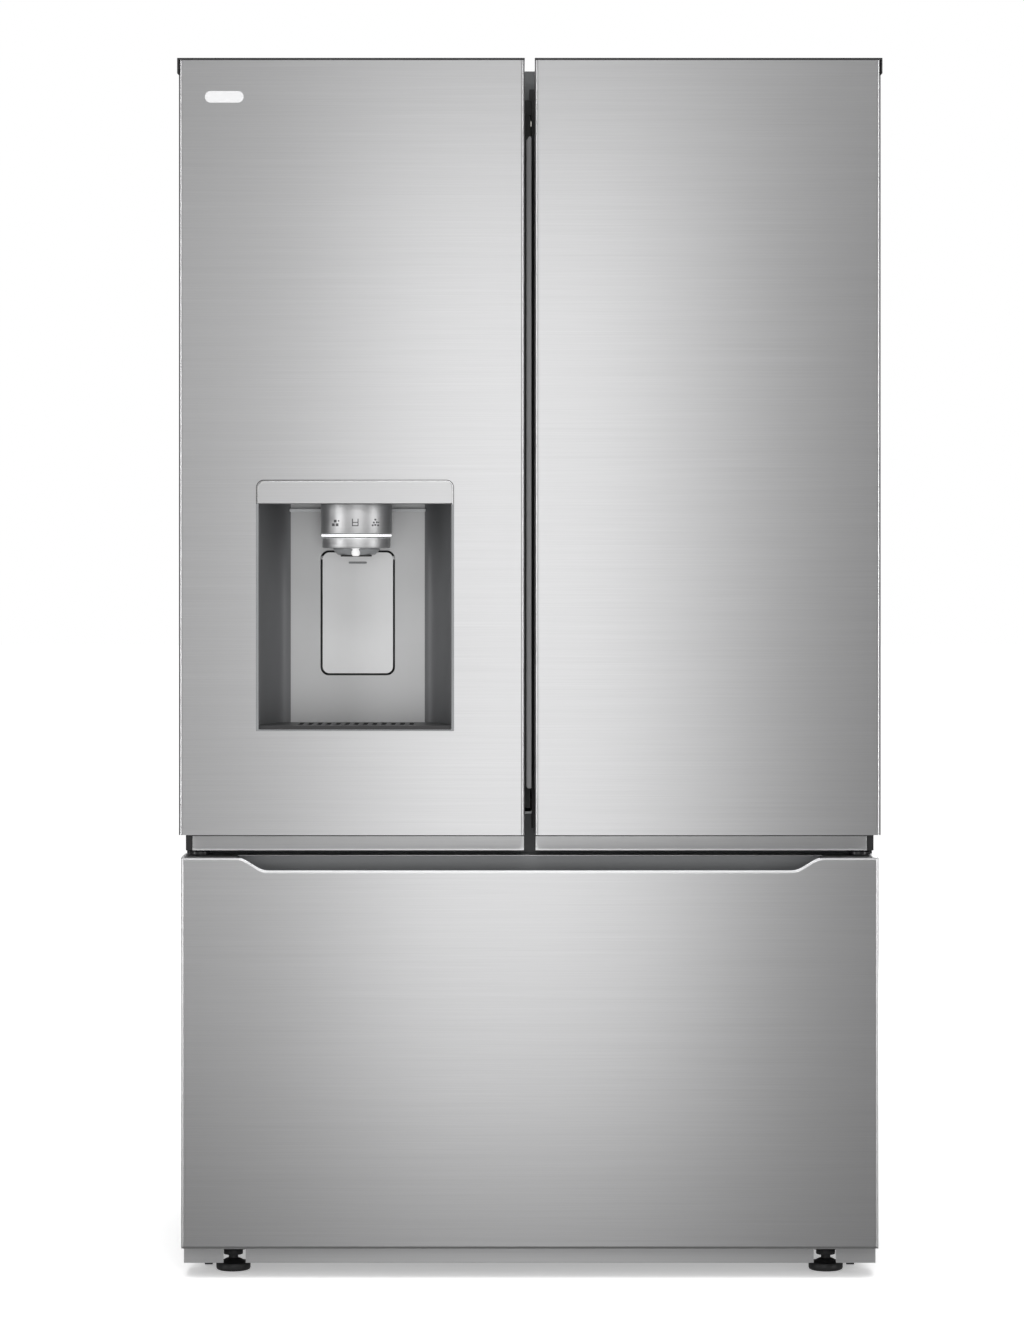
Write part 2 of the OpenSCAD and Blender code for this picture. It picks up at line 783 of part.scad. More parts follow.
// Moulded alcove behind the door skin, with the cavity that the paddle swings into
module dispenser_housing() color("gray") difference() {
    union() {
        block([disp_x - housing_hw, disp_x + housing_hw], [front_y + skin_t + 0.1, housing_back],
            [disp_low - 3.5, disp_low + disp_h + 2.5]);
        upright([front_y, front_y + 2])
            intersection() {
                dispenser_outline(-0.2);
                translate([disp_x - 200, disp_low - 10])
                    square([400, hood_low - disp_low + 9.9]);
            }
    }
    translate([disp_x, 0, alcove_floor])
        linear_extrude(hood_low - alcove_floor)
            polygon(alcove_plan(0));
    block([disp_x - 200, disp_x + 200], [front_y - 1, front_y + 14],
        [hood_low, disp_low + disp_h + 5]);
    block([disp_x - paddle_w / 2 - paddle_gap, disp_x + paddle_w / 2 + paddle_gap],
        [alcove_y - 1, housing_back - 4],
        [paddle_low - paddle_gap, paddle_low + paddle_h + paddle_gap]);
    translate([disp_x - paddle_w / 2 - 6.5, paddle_axis[0], paddle_axis[1]])
        rotate([0, 90, 0])
            cylinder(r = 2.5 + pin_play, h = paddle_w + 13);
}

module dispenser_hood() color("silver")
    upright([front_y, front_y + 13.9])
        intersection() {
            dispenser_outline(-0.4);
            translate([disp_x - 200, hood_low])
                square([400, 60]);
        }

// Round control head that hangs from the top of the alcove
module dispenser_head() color("silver") translate([disp_x, head_y, 0]) {
    translate([0, 0, head_low])
        cylinder(r = head_r, h = hood_low - 0.1 - head_low);
}

// Collar under the head with the ice chute and the water nozzle
module dispenser_spout() color("lightgray") translate([disp_x, head_y, 0]) {
    translate([0, 0, head_low - 6])
        cylinder(r = head_r - 3, h = 6);
    translate([0, 0, head_low - 19.5])
        cylinder(r = head_r - 2, h = 13.5);
    difference() {
        translate([0, 0, head_low - 28.5])
            cylinder(r = 30.5, h = 9.5);
        translate([0, 6, head_low - 29])
            cylinder(r = 22, h = 8);
    }
    translate([0, -24, head_low - 30])
        cylinder(r = 6, h = 12);
}

// Box for the ice bin on the back of the left door, with a mouth towards the shelves
module ice_compartment() color("white") difference() {
    block([-bin_x[1], -bin_x[0]], ice_y, ice_z);
    block([-bin_x[1] + ice_t, -bin_x[0] - ice_t], [ice_y[0] - 1, ice_y[1] - ice_t],
        [ice_z[0] + ice_t, ice_z[1] - ice_t]);
    block([-bin_x[1] + 22, -bin_x[0] - 22], [ice_y[0], ice_y[1] + 1], [ice_z[0] + 60, ice_z[1] - 22]);
}

module left_door_bins() color("aliceblue") mirror([1, 0, 0]) {
    for (z = left_bins_z)
        door_bin(z);
}

// Push paddle with its hinge pins at the top
module dispenser_paddle() color("lightgray") {
    upright([alcove_y + 0.5, alcove_y + 7])
        round_rect([disp_x - paddle_w / 2, disp_x + paddle_w / 2],
            [paddle_low, paddle_low + paddle_h], 9);
    translate([disp_x - paddle_w / 2 - 6, paddle_axis[0], paddle_axis[1]])
        rotate([0, 90, 0])
            cylinder(r = 2.5, h = paddle_w + 12);
}

// Lift-out grille on the alcove's floor, cut to the alcove's plan
module drip_tray() color("dimgray") difference() {
    translate([disp_x, 0, alcove_floor + 0.1])
        linear_extrude(5)
            intersection() {
                polygon(alcove_plan(-1));
                translate([-alcove_hw, front_y + 3])
                    square([2 * alcove_hw, alcove_d]);
            }
    for (x = [-72 : 12 : 72])
        block([disp_x + x - 3, disp_x + x + 3], [front_y + 22, alcove_y - 14],
            [alcove_floor - 1, alcove_floor + 9]);
}

// Flap that closes the gap behind the two doors, hinged on the left door
module mullion() color("dimgray") {
    difference() {
        block(mullion_x, mullion_y, mullion_z);
        for (z = ear_z)
            block([mullion_x[0] - 1, mullion_pin[0] + 9], [mullion_y[0] - 1, mullion_y[1] + 1],
                [z, z + 20]);
    }
    for (z = ear_z)
        translate([mullion_pin[0], mullion_pin[1], z - 5])
            cylinder(r = 2.5, h = 30);
}

// ---- Freezer drawer ----

// Top edge of the drawer front: flat at the ends, dipping through a smooth ramp
function ramp(t) = drawer_top - scoop_d * (1 - cos(180 * t)) / 2;
function scoop_edge() = concat(
    [for (i = [0 : 10]) [-scoop_hw - scoop_ramp * (1 - i / 10), ramp(i / 10)]],
    [for (i = [10 : -1 : 0]) [scoop_hw + scoop_ramp * (1 - i / 10), ramp(i / 10)]]);

module scoop_cut(y) upright(y)
    polygon(concat([[-scoop_hw - scoop_ramp, drawer_top + 5]], scoop_edge(),
        [[scoop_hw + scoop_ramp, drawer_top + 5]]));

module drawer_skin() color("silver") difference() {
    union() {
        translate([0, 0, drawer_low])
            linear_extrude(drawer_top - drawer_low)
                difference() {
                    round_front([-drawer_hw, drawer_hw], [front_y, door_back - 3], edge_r);
                    round_front([-drawer_hw + skin_t, drawer_hw - skin_t],
                        [front_y + skin_t, door_back], edge_r - skin_t);
                }
        for (z = [drawer_low, drawer_top - skin_t])
            block([-drawer_hw + skin_t / 2, drawer_hw - skin_t / 2],
                [front_y + edge_r, door_back - 3], [z, z + skin_t]);
    }
    scoop_cut([front_y - 1, front_y + 8]);
    block([-scoop_hw - scoop_ramp, scoop_hw + scoop_ramp], pocket_y, [drawer_top - 2, drawer_top + 1]);
}

module drawer_core() color("white") {
    difference() {
        translate([0, 0, drawer_low + skin_t + 0.1])
            linear_extrude(drawer_top - drawer_low - 2 * skin_t - 0.2)
                round_front([-drawer_hw + skin_t + 0.1, drawer_hw - skin_t - 0.1],
                    [front_y + skin_t + 0.1, door_back], edge_r - skin_t);
        scoop_cut([front_y - 1, front_y + 8]);
        block([-scoop_hw - scoop_ramp, scoop_hw + scoop_ramp], pocket_y,
            [pocket_low, drawer_top + 1]);
    }
    frame_ring([-368, 368], [freezer_low + 8, freezer_top - 12], dyke_w,
        [door_back - 0.1, dyke_y - 6]);
}

// Channel behind the scooped edge that the fingers reach into
module drawer_handle() color("gray") difference() {
    block([-scoop_hw - scoop_ramp + 0.2, scoop_hw + scoop_ramp - 0.2],
        [pocket_y[0] + 0.1, pocket_y[1] - 0.1], [pocket_low + 0.1, drawer_top - 1]);
    block([-scoop_hw - scoop_ramp + 3, scoop_hw + scoop_ramp - 3],
        [pocket_y[0] + 2.5, pocket_y[1] - 3], [pocket_low + 3, drawer_top]);
    scoop_cut([front_y - 1, pocket_y[0] + 8]);
}

module drawer_gasket() color("gainsboro")
    frame_ring([-gasket_out, gasket_out], [pan_top + 4, freezer_top + 24], gasket_w,
        [door_back, case_front - 0.3]);

// One pair of slide members, numbered outwards from the basket
module rail_pair(i, h, y) both_sides() {
    outer = cavity_hw - (2 - i) * (rail_t + rail_gap);
    block([outer - rail_t, outer], y, [rail_z - h / 2, rail_z + h / 2]);
}

module freezer_rails_fixed() color("silver") rail_pair(2, 38, rail_y);
module freezer_rails_middle() color("silver") rail_pair(1, 32, rail_y);

module drawer_rails() color("silver") {
    rail_pair(0, 26, [door_back, rail_y[1]]);
}

module freezer_basket() color("white") {
    tub([-basket_hw, basket_hw], basket_y, [120, basket_top], tub_t, 16);
    both_sides()
        block([basket_hw - 1, basket_hw + 17], [basket_y[0] + 16, basket_y[1] - 16],
            [rail_z + 13, basket_top]);
}

// Shallow upper tray that slides back over the basket
module freezer_tray() color("white") {
    tub([-basket_hw + 8, basket_hw - 8], [basket_y[0] + 6, -40], [basket_top + 0.3, 450], tub_t, 14);
    both_sides()
        block([basket_hw - 9, basket_hw + 14], [basket_y[0] + 20, -54],
            [basket_top + 0.3, basket_top + 4]);
}

cabinet_wrapper();
rear_panel();
cabinet_foam();
fresh_liner();
freezer_liner();
front_rails();
base_frame();
kick_plate();
compressor();
condenser_coil();
rear_cover();
water_valve();
evaporator_cover();
evaporator_coil();
air_duct();
ceiling_light();
shelf_tracks();
shelf_frames();
shelf_glass();
hinge_brackets();
hinge_covers();
freezer_rails_fixed();
freezer_rails_middle();
left_foot();
right_foot();
front_rollers();
rear_rollers();
condenser_fan();
evaporator_fan();
left_crisper();
right_crisper();
pantry_drawer();
left_door_skin();
left_door_core();
left_door_caps();
left_gasket();
left_side_grip();
dispenser_housing();
dispenser_hood();
dispenser_head();
dispenser_spout();
ice_compartment();
left_door_bins();
dispenser_paddle();
drip_tray();
mullion();
right_door_skin();
right_door_core();
right_door_caps();
right_gasket();
right_side_grip();
right_door_bins();
dairy_lid();
drawer_skin();
drawer_core();
drawer_handle();
drawer_gasket();
drawer_rails();
freezer_basket();
freezer_tray();
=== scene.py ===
"""French door refrigerator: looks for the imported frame. Metres, +Z up, doors face -Y."""

import json
import math

import bmesh
import bpy
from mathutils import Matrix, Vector
from mathutils.geometry import tessellate_polygon


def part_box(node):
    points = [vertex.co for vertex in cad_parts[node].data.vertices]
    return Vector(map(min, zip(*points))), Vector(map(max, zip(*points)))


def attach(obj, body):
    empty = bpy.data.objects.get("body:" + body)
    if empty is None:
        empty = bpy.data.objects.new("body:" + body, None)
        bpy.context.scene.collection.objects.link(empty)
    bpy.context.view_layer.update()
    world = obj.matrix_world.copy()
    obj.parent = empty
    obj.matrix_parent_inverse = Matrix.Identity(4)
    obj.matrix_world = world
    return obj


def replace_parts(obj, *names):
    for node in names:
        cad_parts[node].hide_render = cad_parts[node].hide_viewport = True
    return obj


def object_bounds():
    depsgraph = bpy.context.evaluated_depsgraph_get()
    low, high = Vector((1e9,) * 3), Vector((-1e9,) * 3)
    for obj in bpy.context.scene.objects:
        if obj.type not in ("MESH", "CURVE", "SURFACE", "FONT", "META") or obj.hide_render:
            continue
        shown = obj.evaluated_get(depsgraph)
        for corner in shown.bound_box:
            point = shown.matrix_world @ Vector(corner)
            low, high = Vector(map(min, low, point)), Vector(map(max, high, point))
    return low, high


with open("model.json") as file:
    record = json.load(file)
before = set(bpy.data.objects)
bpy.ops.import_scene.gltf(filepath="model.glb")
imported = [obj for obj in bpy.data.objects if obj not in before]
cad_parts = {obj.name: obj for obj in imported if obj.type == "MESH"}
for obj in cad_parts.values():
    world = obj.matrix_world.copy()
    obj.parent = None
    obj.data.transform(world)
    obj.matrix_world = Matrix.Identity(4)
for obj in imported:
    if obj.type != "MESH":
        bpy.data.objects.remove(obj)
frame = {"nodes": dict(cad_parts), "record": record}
cad_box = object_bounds()
nodes = frame["nodes"]
MM = 0.001
FRONT = cad_box[0][1]


# ---- Camera ----

CAMERA_X = -0.023
CAMERA_HEIGHT = 0.969
CAMERA_DISTANCE = 5.5
LENS_MM = 115.5
SENSOR_MM = 36
SHIFT_UP = -0.100
FAR_CLIP = 60


def make_camera():
    data = bpy.data.cameras.new("camera")
    camera = bpy.data.objects.new("camera", data)
    bpy.context.scene.collection.objects.link(camera)
    camera.location = (CAMERA_X, FRONT - CAMERA_DISTANCE, CAMERA_HEIGHT)
    camera.rotation_euler = (math.radians(90), 0, 0)
    data.sensor_width = SENSOR_MM
    data.lens = LENS_MM
    data.shift_y = SHIFT_UP
    data.clip_end = FAR_CLIP
    bpy.context.scene.camera = camera


# ---- Node helpers for the materials ----

def new_material(name):
    """A material with an empty tree but its shader; returns it with a node maker and linker."""
    material = bpy.data.materials.new(name)
    material.use_nodes = True
    tree = material.node_tree
    shader = tree.nodes["Principled BSDF"]

    def add(kind, **values):
        node = tree.nodes.new(kind)
        for key, value in values.items():
            if key in node.inputs:
                node.inputs[key].default_value = value
            else:
                setattr(node, key, value)
        return node

    return material, shader, add, tree.links.new


def coordinates(add, link, scale):
    """Object coordinates stretched by scale."""
    source = add("ShaderNodeTexCoord")
    mapping = add("ShaderNodeMapping")
    mapping.inputs["Scale"].default_value = scale
    link(source.outputs["Object"], mapping.inputs["Vector"])
    return mapping.outputs["Vector"]


def noise(add, link, vector, scale, detail=4.0, roughness=0.55):
    node = add("ShaderNodeTexNoise", Scale=scale, Detail=detail, Roughness=roughness)
    link(vector, node.inputs["Vector"])
    return node.outputs["Fac"]


def ramp(add, link, factor, low, high, colors):
    """A colour ramp between two colours over the stretch low to high of factor."""
    node = add("ShaderNodeValToRGB")
    ends = node.color_ramp.elements
    ends[0].position, ends[1].position = low, high
    for end, color in zip(ends, colors):
        end.color = (*color, 1)
    link(factor, node.inputs["Fac"])
    return node.outputs["Color"]


def spread(add, link, factor, low, high):
    """factor from 0.3 to 0.7 mapped to the range low to high."""
    node = add("ShaderNodeMapRange")
    node.inputs["From Min"].default_value = 0.3
    node.inputs["From Max"].default_value = 0.7
    node.inputs["To Min"].default_value = low
    node.inputs["To Max"].default_value = high
    link(factor, node.inputs["Value"])
    return node.outputs["Result"]


def bump(add, link, shader, height, strength, distance):
    node = add("ShaderNodeBump", Strength=strength, Distance=distance)
    link(height, node.inputs["Height"])
    link(node.outputs["Normal"], shader.inputs["Normal"])


def shade(color, amount):
    return tuple(max(0.0, min(1.0, c * amount)) for c in color)


# ---- Materials ----

def brushed_steel(name, color, rough, contrast=0.06, grain_axis="x"):
    """Metal sheet with fine straight grain, faint smudges and a soft anisotropic shine."""
    material, shader, add, link = new_material(name)
    fine = (5, 5, 1500) if grain_axis == "x" else (1500, 1500, 5)
    coarse = (1.2, 1.2, 260) if grain_axis == "x" else (260, 260, 1.2)
    grain = noise(add, link, coordinates(add, link, fine), 1.0, 6.0, 0.7)
    bands = noise(add, link, coordinates(add, link, coarse), 1.0, 3.0, 0.6)
    smudge = noise(add, link, coordinates(add, link, (2.2, 2.2, 2.2)), 1.0, 3.0, 0.5)
    both = add("ShaderNodeMix", data_type="FLOAT")
    both.inputs[0].default_value = 0.22
    link(grain, both.inputs[2])
    link(bands, both.inputs[3])
    tone = ramp(add, link, both.outputs[0], 0.34, 0.66,
                (shade(color, 1 - contrast), shade(color, 1 + contrast)))
    link(tone, shader.inputs["Base Color"])
    rough_mix = add("ShaderNodeMix", data_type="FLOAT")
    rough_mix.inputs[0].default_value = 0.4
    link(grain, rough_mix.inputs[2])
    link(smudge, rough_mix.inputs[3])
    link(spread(add, link, rough_mix.outputs[0], rough - 0.02, rough + 0.02),
         shader.inputs["Roughness"])
    bump(add, link, shader, grain, 0.05, 0.0002)
    shader.inputs["Metallic"].default_value = 1.0
    level = add("ShaderNodeVectorTransform", vector_type="VECTOR",
                convert_from="OBJECT", convert_to="WORLD")
    level.inputs["Vector"].default_value = (1, 1, 0)
    link(level.outputs["Vector"], shader.inputs["Tangent"])
    shader.inputs["Anisotropic"].default_value = 0.30
    shader.inputs["Anisotropic Rotation"].default_value = 0.25 if grain_axis == "x" else 0.0
    return material


def moulded(name, color, rough, grain=0.25, scale=900.0, variation=0.05, coat=0.0, metal=0.0):
    """Moulded or painted surface: fine texture, faint mottling and uneven gloss."""
    material, shader, add, link = new_material(name)
    mottling = noise(add, link, coordinates(add, link, (7, 7, 7)), 1.0, 5.0, 0.6)
    texture = noise(add, link, coordinates(add, link, (scale, scale, scale)), 1.0, 2.0, 0.5)
    tones = (shade(color, 1 - variation), shade(color, 1 + variation))
    link(ramp(add, link, mottling, 0.3, 0.7, tones), shader.inputs["Base Color"])
    link(spread(add, link, mottling, rough - 0.04, rough + 0.05), shader.inputs["Roughness"])
    bump(add, link, shader, texture, grain, 0.0002)
    shader.inputs["Coat Weight"].default_value = coat
    shader.inputs["Metallic"].default_value = metal
    return material


def galvanised(name, color):
    """Zinc-coated sheet with its spangle of crystals."""
    material, shader, add, link = new_material(name)
    cells = add("ShaderNodeTexVoronoi", Scale=1.0)
    link(coordinates(add, link, (130, 130, 130)), cells.inputs["Vector"])
    hue = add("ShaderNodeSeparateColor")
    link(cells.outputs["Color"], hue.inputs["Color"])
    link(ramp(add, link, hue.outputs[0], 0.0, 1.0, (shade(color, 0.93), shade(color, 1.05))),
         shader.inputs["Base Color"])
    link(spread(add, link, hue.outputs[1], 0.40, 0.47), shader.inputs["Roughness"])
    shader.inputs["Metallic"].default_value = 0.9
    return material


def see_through(name, color, rough, opacity):
    """Clear plastic or glass: the tint is denser at grazing angles and faintly uneven."""
    material, shader, add, link = new_material(name)
    haze = noise(add, link, coordinates(add, link, (11, 11, 11)), 1.0, 4.0, 0.6)
    link(ramp(add, link, haze, 0.3, 0.7, (shade(color, 0.94), shade(color, 1.04))),
         shader.inputs["Base Color"])
    link(spread(add, link, haze, rough, rough + 0.05), shader.inputs["Roughness"])
    facing = add("ShaderNodeLayerWeight", Blend=0.35)
    alpha = add("ShaderNodeMapRange")
    alpha.inputs["To Min"].default_value = opacity
    alpha.inputs["To Max"].default_value = min(1.0, opacity + 0.45)
    link(facing.outputs["Facing"], alpha.inputs["Value"])
    link(alpha.outputs["Result"], shader.inputs["Alpha"])
    shader.inputs["IOR"].default_value = 1.5
    return material


def glowing(name, color, strength):
    """Diffusing lens with a lamp behind it."""
    material, shader, add, link = new_material(name)
    ripple = noise(add, link, coordinates(add, link, (60, 60, 60)), 1.0, 2.0, 0.5)
    tone = ramp(add, link, ripple, 0.3, 0.7, (shade(color, 0.93), color))
    link(tone, shader.inputs["Base Color"])
    link(tone, shader.inputs["Emission Color"])
    shader.inputs["Emission Strength"].default_value = strength
    shader.inputs["Roughness"].default_value = 0.35
    return material


STEEL = (0.60, 0.60, 0.605)
M = {
    "stainless": brushed_steel("stainless_sheet", STEEL, 0.37),
    "bright_metal": brushed_steel("bright_trim", (0.74, 0.74, 0.745), 0.26, 0.04),
    "zinc_steel": brushed_steel("zinc_plated_steel", (0.55, 0.55, 0.56), 0.30, 0.06),
    "cabinet_paint": moulded("cabinet_paint", (0.135, 0.138, 0.142), 0.46, 0.35, 420),
    "galvanised": galvanised("galvanised_sheet", (0.55, 0.56, 0.57)),
    "foam": moulded("insulating_foam", (0.78, 0.66, 0.36), 0.9, 0.9, 300, 0.12),
    "foam_core": moulded("door_liner_plastic", (0.80, 0.81, 0.82), 0.32, 0.10, 500, 0.02, 0.2),
    "white_liner": moulded("liner_plastic", (0.80, 0.81, 0.82), 0.30, 0.10, 500, 0.02, 0.2),
    "dark_plastic": moulded("dark_plastic", (0.020, 0.020, 0.021), 0.42, 0.30, 900, 0.2),
    "grey_plastic": moulded("grey_plastic", (0.19, 0.195, 0.20), 0.40, 0.20, 900, 0.05),
    "light_grey_plastic": moulded("light_grey_plastic", (0.50, 0.51, 0.52), 0.36, 0.18, 900, 0.04),
    "black_paint": moulded("black_enamel", (0.014, 0.014, 0.016), 0.30, 0.25, 250, 0.2),
    "black_rubber": moulded("black_rubber", (0.018, 0.018, 0.019), 0.70, 0.35, 700, 0.2),
    "seal": moulded("gasket_rubber", (0.52, 0.53, 0.54), 0.55, 0.20, 700, 0.05),
    "clear_plastic": see_through("clear_plastic", (0.80, 0.88, 0.91), 0.06, 0.28),
    "shelf_glass": see_through("shelf_glass", (0.66, 0.86, 0.80), 0.02, 0.18),
    "lamp": glowing("lamp_lens", (1.0, 0.97, 0.90), 0.6),
}
# finishes that only single pieces have
M["dark_seal"] = moulded("dark_seal_rubber", (0.03, 0.03, 0.031), 0.6, 0.2, 700, 0.1)
# The alcove's side walls and back panel are one grey paint in two copies: the darker one on the side
# walls is painted shade, the lighter one on the back is painted light.
M["alcove_shaded_copy"] = moulded("alcove_paint_shaded_copy", (0.13, 0.132, 0.136),
                           0.50, 0.10, 900, 0.04, metal=0.5)
M["alcove_lit_copy"] = moulded("alcove_paint_lit_copy", (0.44, 0.442, 0.445),
                             0.38, 0.10, 1100, 0.03, metal=0.25)
M["paddle_silver"] = moulded("paddle_silver_paint", (0.60, 0.602, 0.605),
                             0.36, 0.10, 1100, 0.03, metal=0.2)
M["ring_light"] = glowing("ring_light", (0.97, 0.98, 1.0), 1.1)
M["hood_metal"] = brushed_steel("hood_metal", (0.62, 0.62, 0.625), 0.42, 0.04)
# A brighter copy of the sheet steel for the kick plate and the scoops under the doors: painted sheen
# in place of their reflections.
M["sheen_brightened_steel"] = brushed_steel("sheen_brightened_steel", (0.80, 0.80, 0.805), 0.46, 0.04)
M["badge_silver"] = moulded("badge_silver", (0.60, 0.60, 0.605), 0.36, 0.05, 900, 0.02)
M["strip_metal"] = brushed_steel("strip_metal", (0.36, 0.36, 0.365), 0.5, 0.04, "z")
M["turned_metal"] = brushed_steel("turned_metal", (0.66, 0.66, 0.665), 0.50, 0.03)
M["printed_grey"] = moulded("printed_grey", (0.06, 0.06, 0.063), 0.5, 0.1, 900, 0.05)
M["nozzle_white"] = moulded("nozzle_white", (0.82, 0.82, 0.82), 0.22, 0.05, 900, 0.02, 0.4)


# ---- Geometry helpers, in millimetres ----

AXES = {"x": (1, 2, 0), "y": (0, 2, 1), "z": (0, 1, 2)}


def limits(node):
    """The x, y and z ranges of a CAD node in millimetres."""
    return [(a / MM, b / MM) for a, b in zip(*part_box(node))]


def rounded(x, z, radius, steps=6):
    """Outline of a rectangle with round corners.

    radius is one number, or four from the high right corner round by the high left one.
    """
    radii = radius if hasattr(radius, "__len__") else [radius] * 4
    corners = [(x[1], z[1], -1, -1), (x[0], z[1], 1, -1), (x[0], z[0], 1, 1), (x[1], z[0], -1, 1)]
    points = []
    for quarter, ((cx, cz, sx, sz), r) in enumerate(zip(corners, radii)):
        for i in range(steps + 1):
            turn = math.radians(90 * (quarter + i / steps))
            points.append((cx + sx * r + r * math.cos(turn), cz + sz * r + r * math.sin(turn)))
    return points


def mirrored(side, near, far):
    """The range near to far, on the left when side is -1 and on the right when it is 1."""
    return sorted((side * near, side * far))


def join_rings(bm, low, high):
    """Faces between two rings with as many vertices each."""
    for i in range(len(low)):
        j = (i + 1) % len(low)
        bm.faces.new((low[i], low[j], high[j], high[i]))


def plate(bm, loops, start, end, axis="y"):
    """A flat piece across axis from start to end: an outline loop, then loops for its holes."""
    u, v, w = AXES[axis]
    rings = []
    for depth in (start, end):
        ring = []
        for loop in loops:
            verts = []
            for point in loop:
                place = [0.0, 0.0, 0.0]
                place[u], place[v], place[w] = point[0], point[1], depth
                verts.append(bm.verts.new(place))
            ring.append(verts)
        rings.append(ring)
    for ring in rings:
        if len(loops) == 1:
            bm.faces.new(ring[0])
            continue
        flat = [vert for loop in ring for vert in loop]
        flat_loops = [[Vector((p[0], p[1], 0)) for p in loop] for loop in loops]
        for three in tessellate_polygon(flat_loops):
            bm.faces.new([flat[i] for i in three])
    for low, high in zip(*rings):
        join_rings(bm, low, high)


def slab(bm, x, y, z):
    plate(bm, [[(x[0], z[0]), (x[1], z[0]), (x[1], z[1]), (x[0], z[1])]], y[0], y[1])


def lathe(bm, profile, centre, axis="z", segments=72):
    """A profile of (radius, height) points turned about an axis through centre."""
    u, v, w = AXES[axis]
    rings = []
    for radius, height in profile:
        ring = []
        for i in range(segments):
            turn = 2 * math.pi * i / segments
            place = list(centre)
            place[u] += radius * math.cos(turn)
            place[v] += radius * math.sin(turn)
            place[w] += height
            ring.append(bm.verts.new(place))
        rings.append(ring)
    for low, high in zip(rings, rings[1:]):
        join_rings(bm, low, high)
    bm.faces.new(rings[0])
    bm.faces.new(rings[-1])


def turned(bm, radius, z, centre, edge):
    """A disc or drum along z with rims rounded by edge."""
    near = 0.3 * edge
    lathe(bm, [(radius - edge, z[0]), (radius - near, z[0] + near), (radius, z[0] + edge),
               (radius, z[1] - edge), (radius - near, z[1] - near), (radius - edge, z[1])], centre)


def mitred_frame(bm, x, z, profile):
    """A rectangular frame in the door plane; profile is its section, as (inset, y) points."""
    rings = []
    for inset, y in profile:
        corners = ((x[0] + inset, z[0] + inset), (x[1] - inset, z[0] + inset),
                   (x[1] - inset, z[1] - inset), (x[0] + inset, z[1] - inset))
        rings.append([bm.verts.new((cx, y, cz)) for cx, cz in corners])
    for low, high in zip(rings, rings[1:] + rings[:1]):
        join_rings(bm, low, high)


def add_bevel(obj, width, segments=2):
    bevel = obj.modifiers.new("soft_edges", "BEVEL")
    bevel.width = width * MM
    bevel.segments = segments
    bevel.limit_method = "ANGLE"
    bevel.angle_limit = math.radians(35)
    bevel.harden_normals = True


def piece(name, bm, body, slot, material=None, bevel=0.0, segments=2, sharp=35):
    """Turns the mesh, drawn in millimetres, into an object that rides on a body.

    Edges bent by more than sharp degrees keep their crease in the shading.
    """
    bmesh.ops.recalc_face_normals(bm, faces=bm.faces)
    for face in bm.faces:
        face.smooth = True
    for edge in bm.edges:
        edge.smooth = len(edge.link_faces) == 2 and edge.calc_face_angle(0) < math.radians(sharp)
    bmesh.ops.scale(bm, vec=(MM, MM, MM), verts=bm.verts)
    mesh = bpy.data.meshes.new(name)
    bm.to_mesh(mesh)
    bm.free()
    obj = bpy.data.objects.new(name, mesh)
    bpy.context.scene.collection.objects.link(obj)
    mesh.materials.append(M[material or slot])
    if bevel:
        add_bevel(obj, bevel, segments)
    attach(obj, body)
    return obj


# ---- Cabinet and doors ----

SKIN = limits("right_door_skin")
FRONT_MM = SKIN[1][0]
DOOR_BACK = limits("left_door_caps")[1][1] + 1


OWN_FINISH = {
    "mullion": "dark_plastic", "dispenser_paddle": "paddle_silver", "kick_plate": "sheen_brightened_steel",
    "base_frame": "black_paint", "hinge_brackets": "black_paint",
}
SOFT_EDGES = {
    "cabinet_wrapper": 0.8, "dispenser_paddle": 1.1, "left_side_grip": 0.4,
    "right_side_grip": 0.4, "kick_plate": 0.4, "hinge_covers": 1.2, "shelf_frames": 0.8,
    "ice_compartment": 1.5, "air_duct": 1.2, "mullion": 0.8, "rear_cover": 0.5,
    "left_door_caps": 0.4, "right_door_caps": 0.4,
}
WELD_DISTANCE = 0.00002


def dress_cad_nodes():
    """CAD nodes show their slot's material or their own finish; some get rounded edges."""
    for part in frame["record"]["subparts"]:
        node = part["node"]
        materials = nodes[node].data.materials
        materials.clear()
        materials.append(M[OWN_FINISH.get(node, part["material_slot"])])
    for name, width in SOFT_EDGES.items():
        weld = nodes[name].modifiers.new("join_faces", "WELD")
        weld.merge_threshold = WELD_DISTANCE
        add_bevel(nodes[name], width)


def make_gaskets():
    """Bellows seals in place of the plain CAD rings."""
    for name, body in (("left_gasket", "left_door"), ("right_gasket", "right_door"),
                       ("drawer_gasket", "freezer_drawer")):
        x, y, z = limits(name)
        width, deep = 16, y[1] - y[0]
        outer = [(0, 0), (0, 0.16), (3.4, 0.28), (0.8, 0.45), (3.8, 0.62), (1.4, 0.78), (1.4, 1)]
        section = [(inset, y[0] + depth * deep) for inset, depth in outer]
        section += [(width - inset, level) for inset, level in reversed(section)]
        bm = bmesh.new()
        mitred_frame(bm, x, z, section)
        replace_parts(piece(name + "_bellows", bm, body, "seal", bevel=0.4), name)


STRIP_X = (7.5, 438)


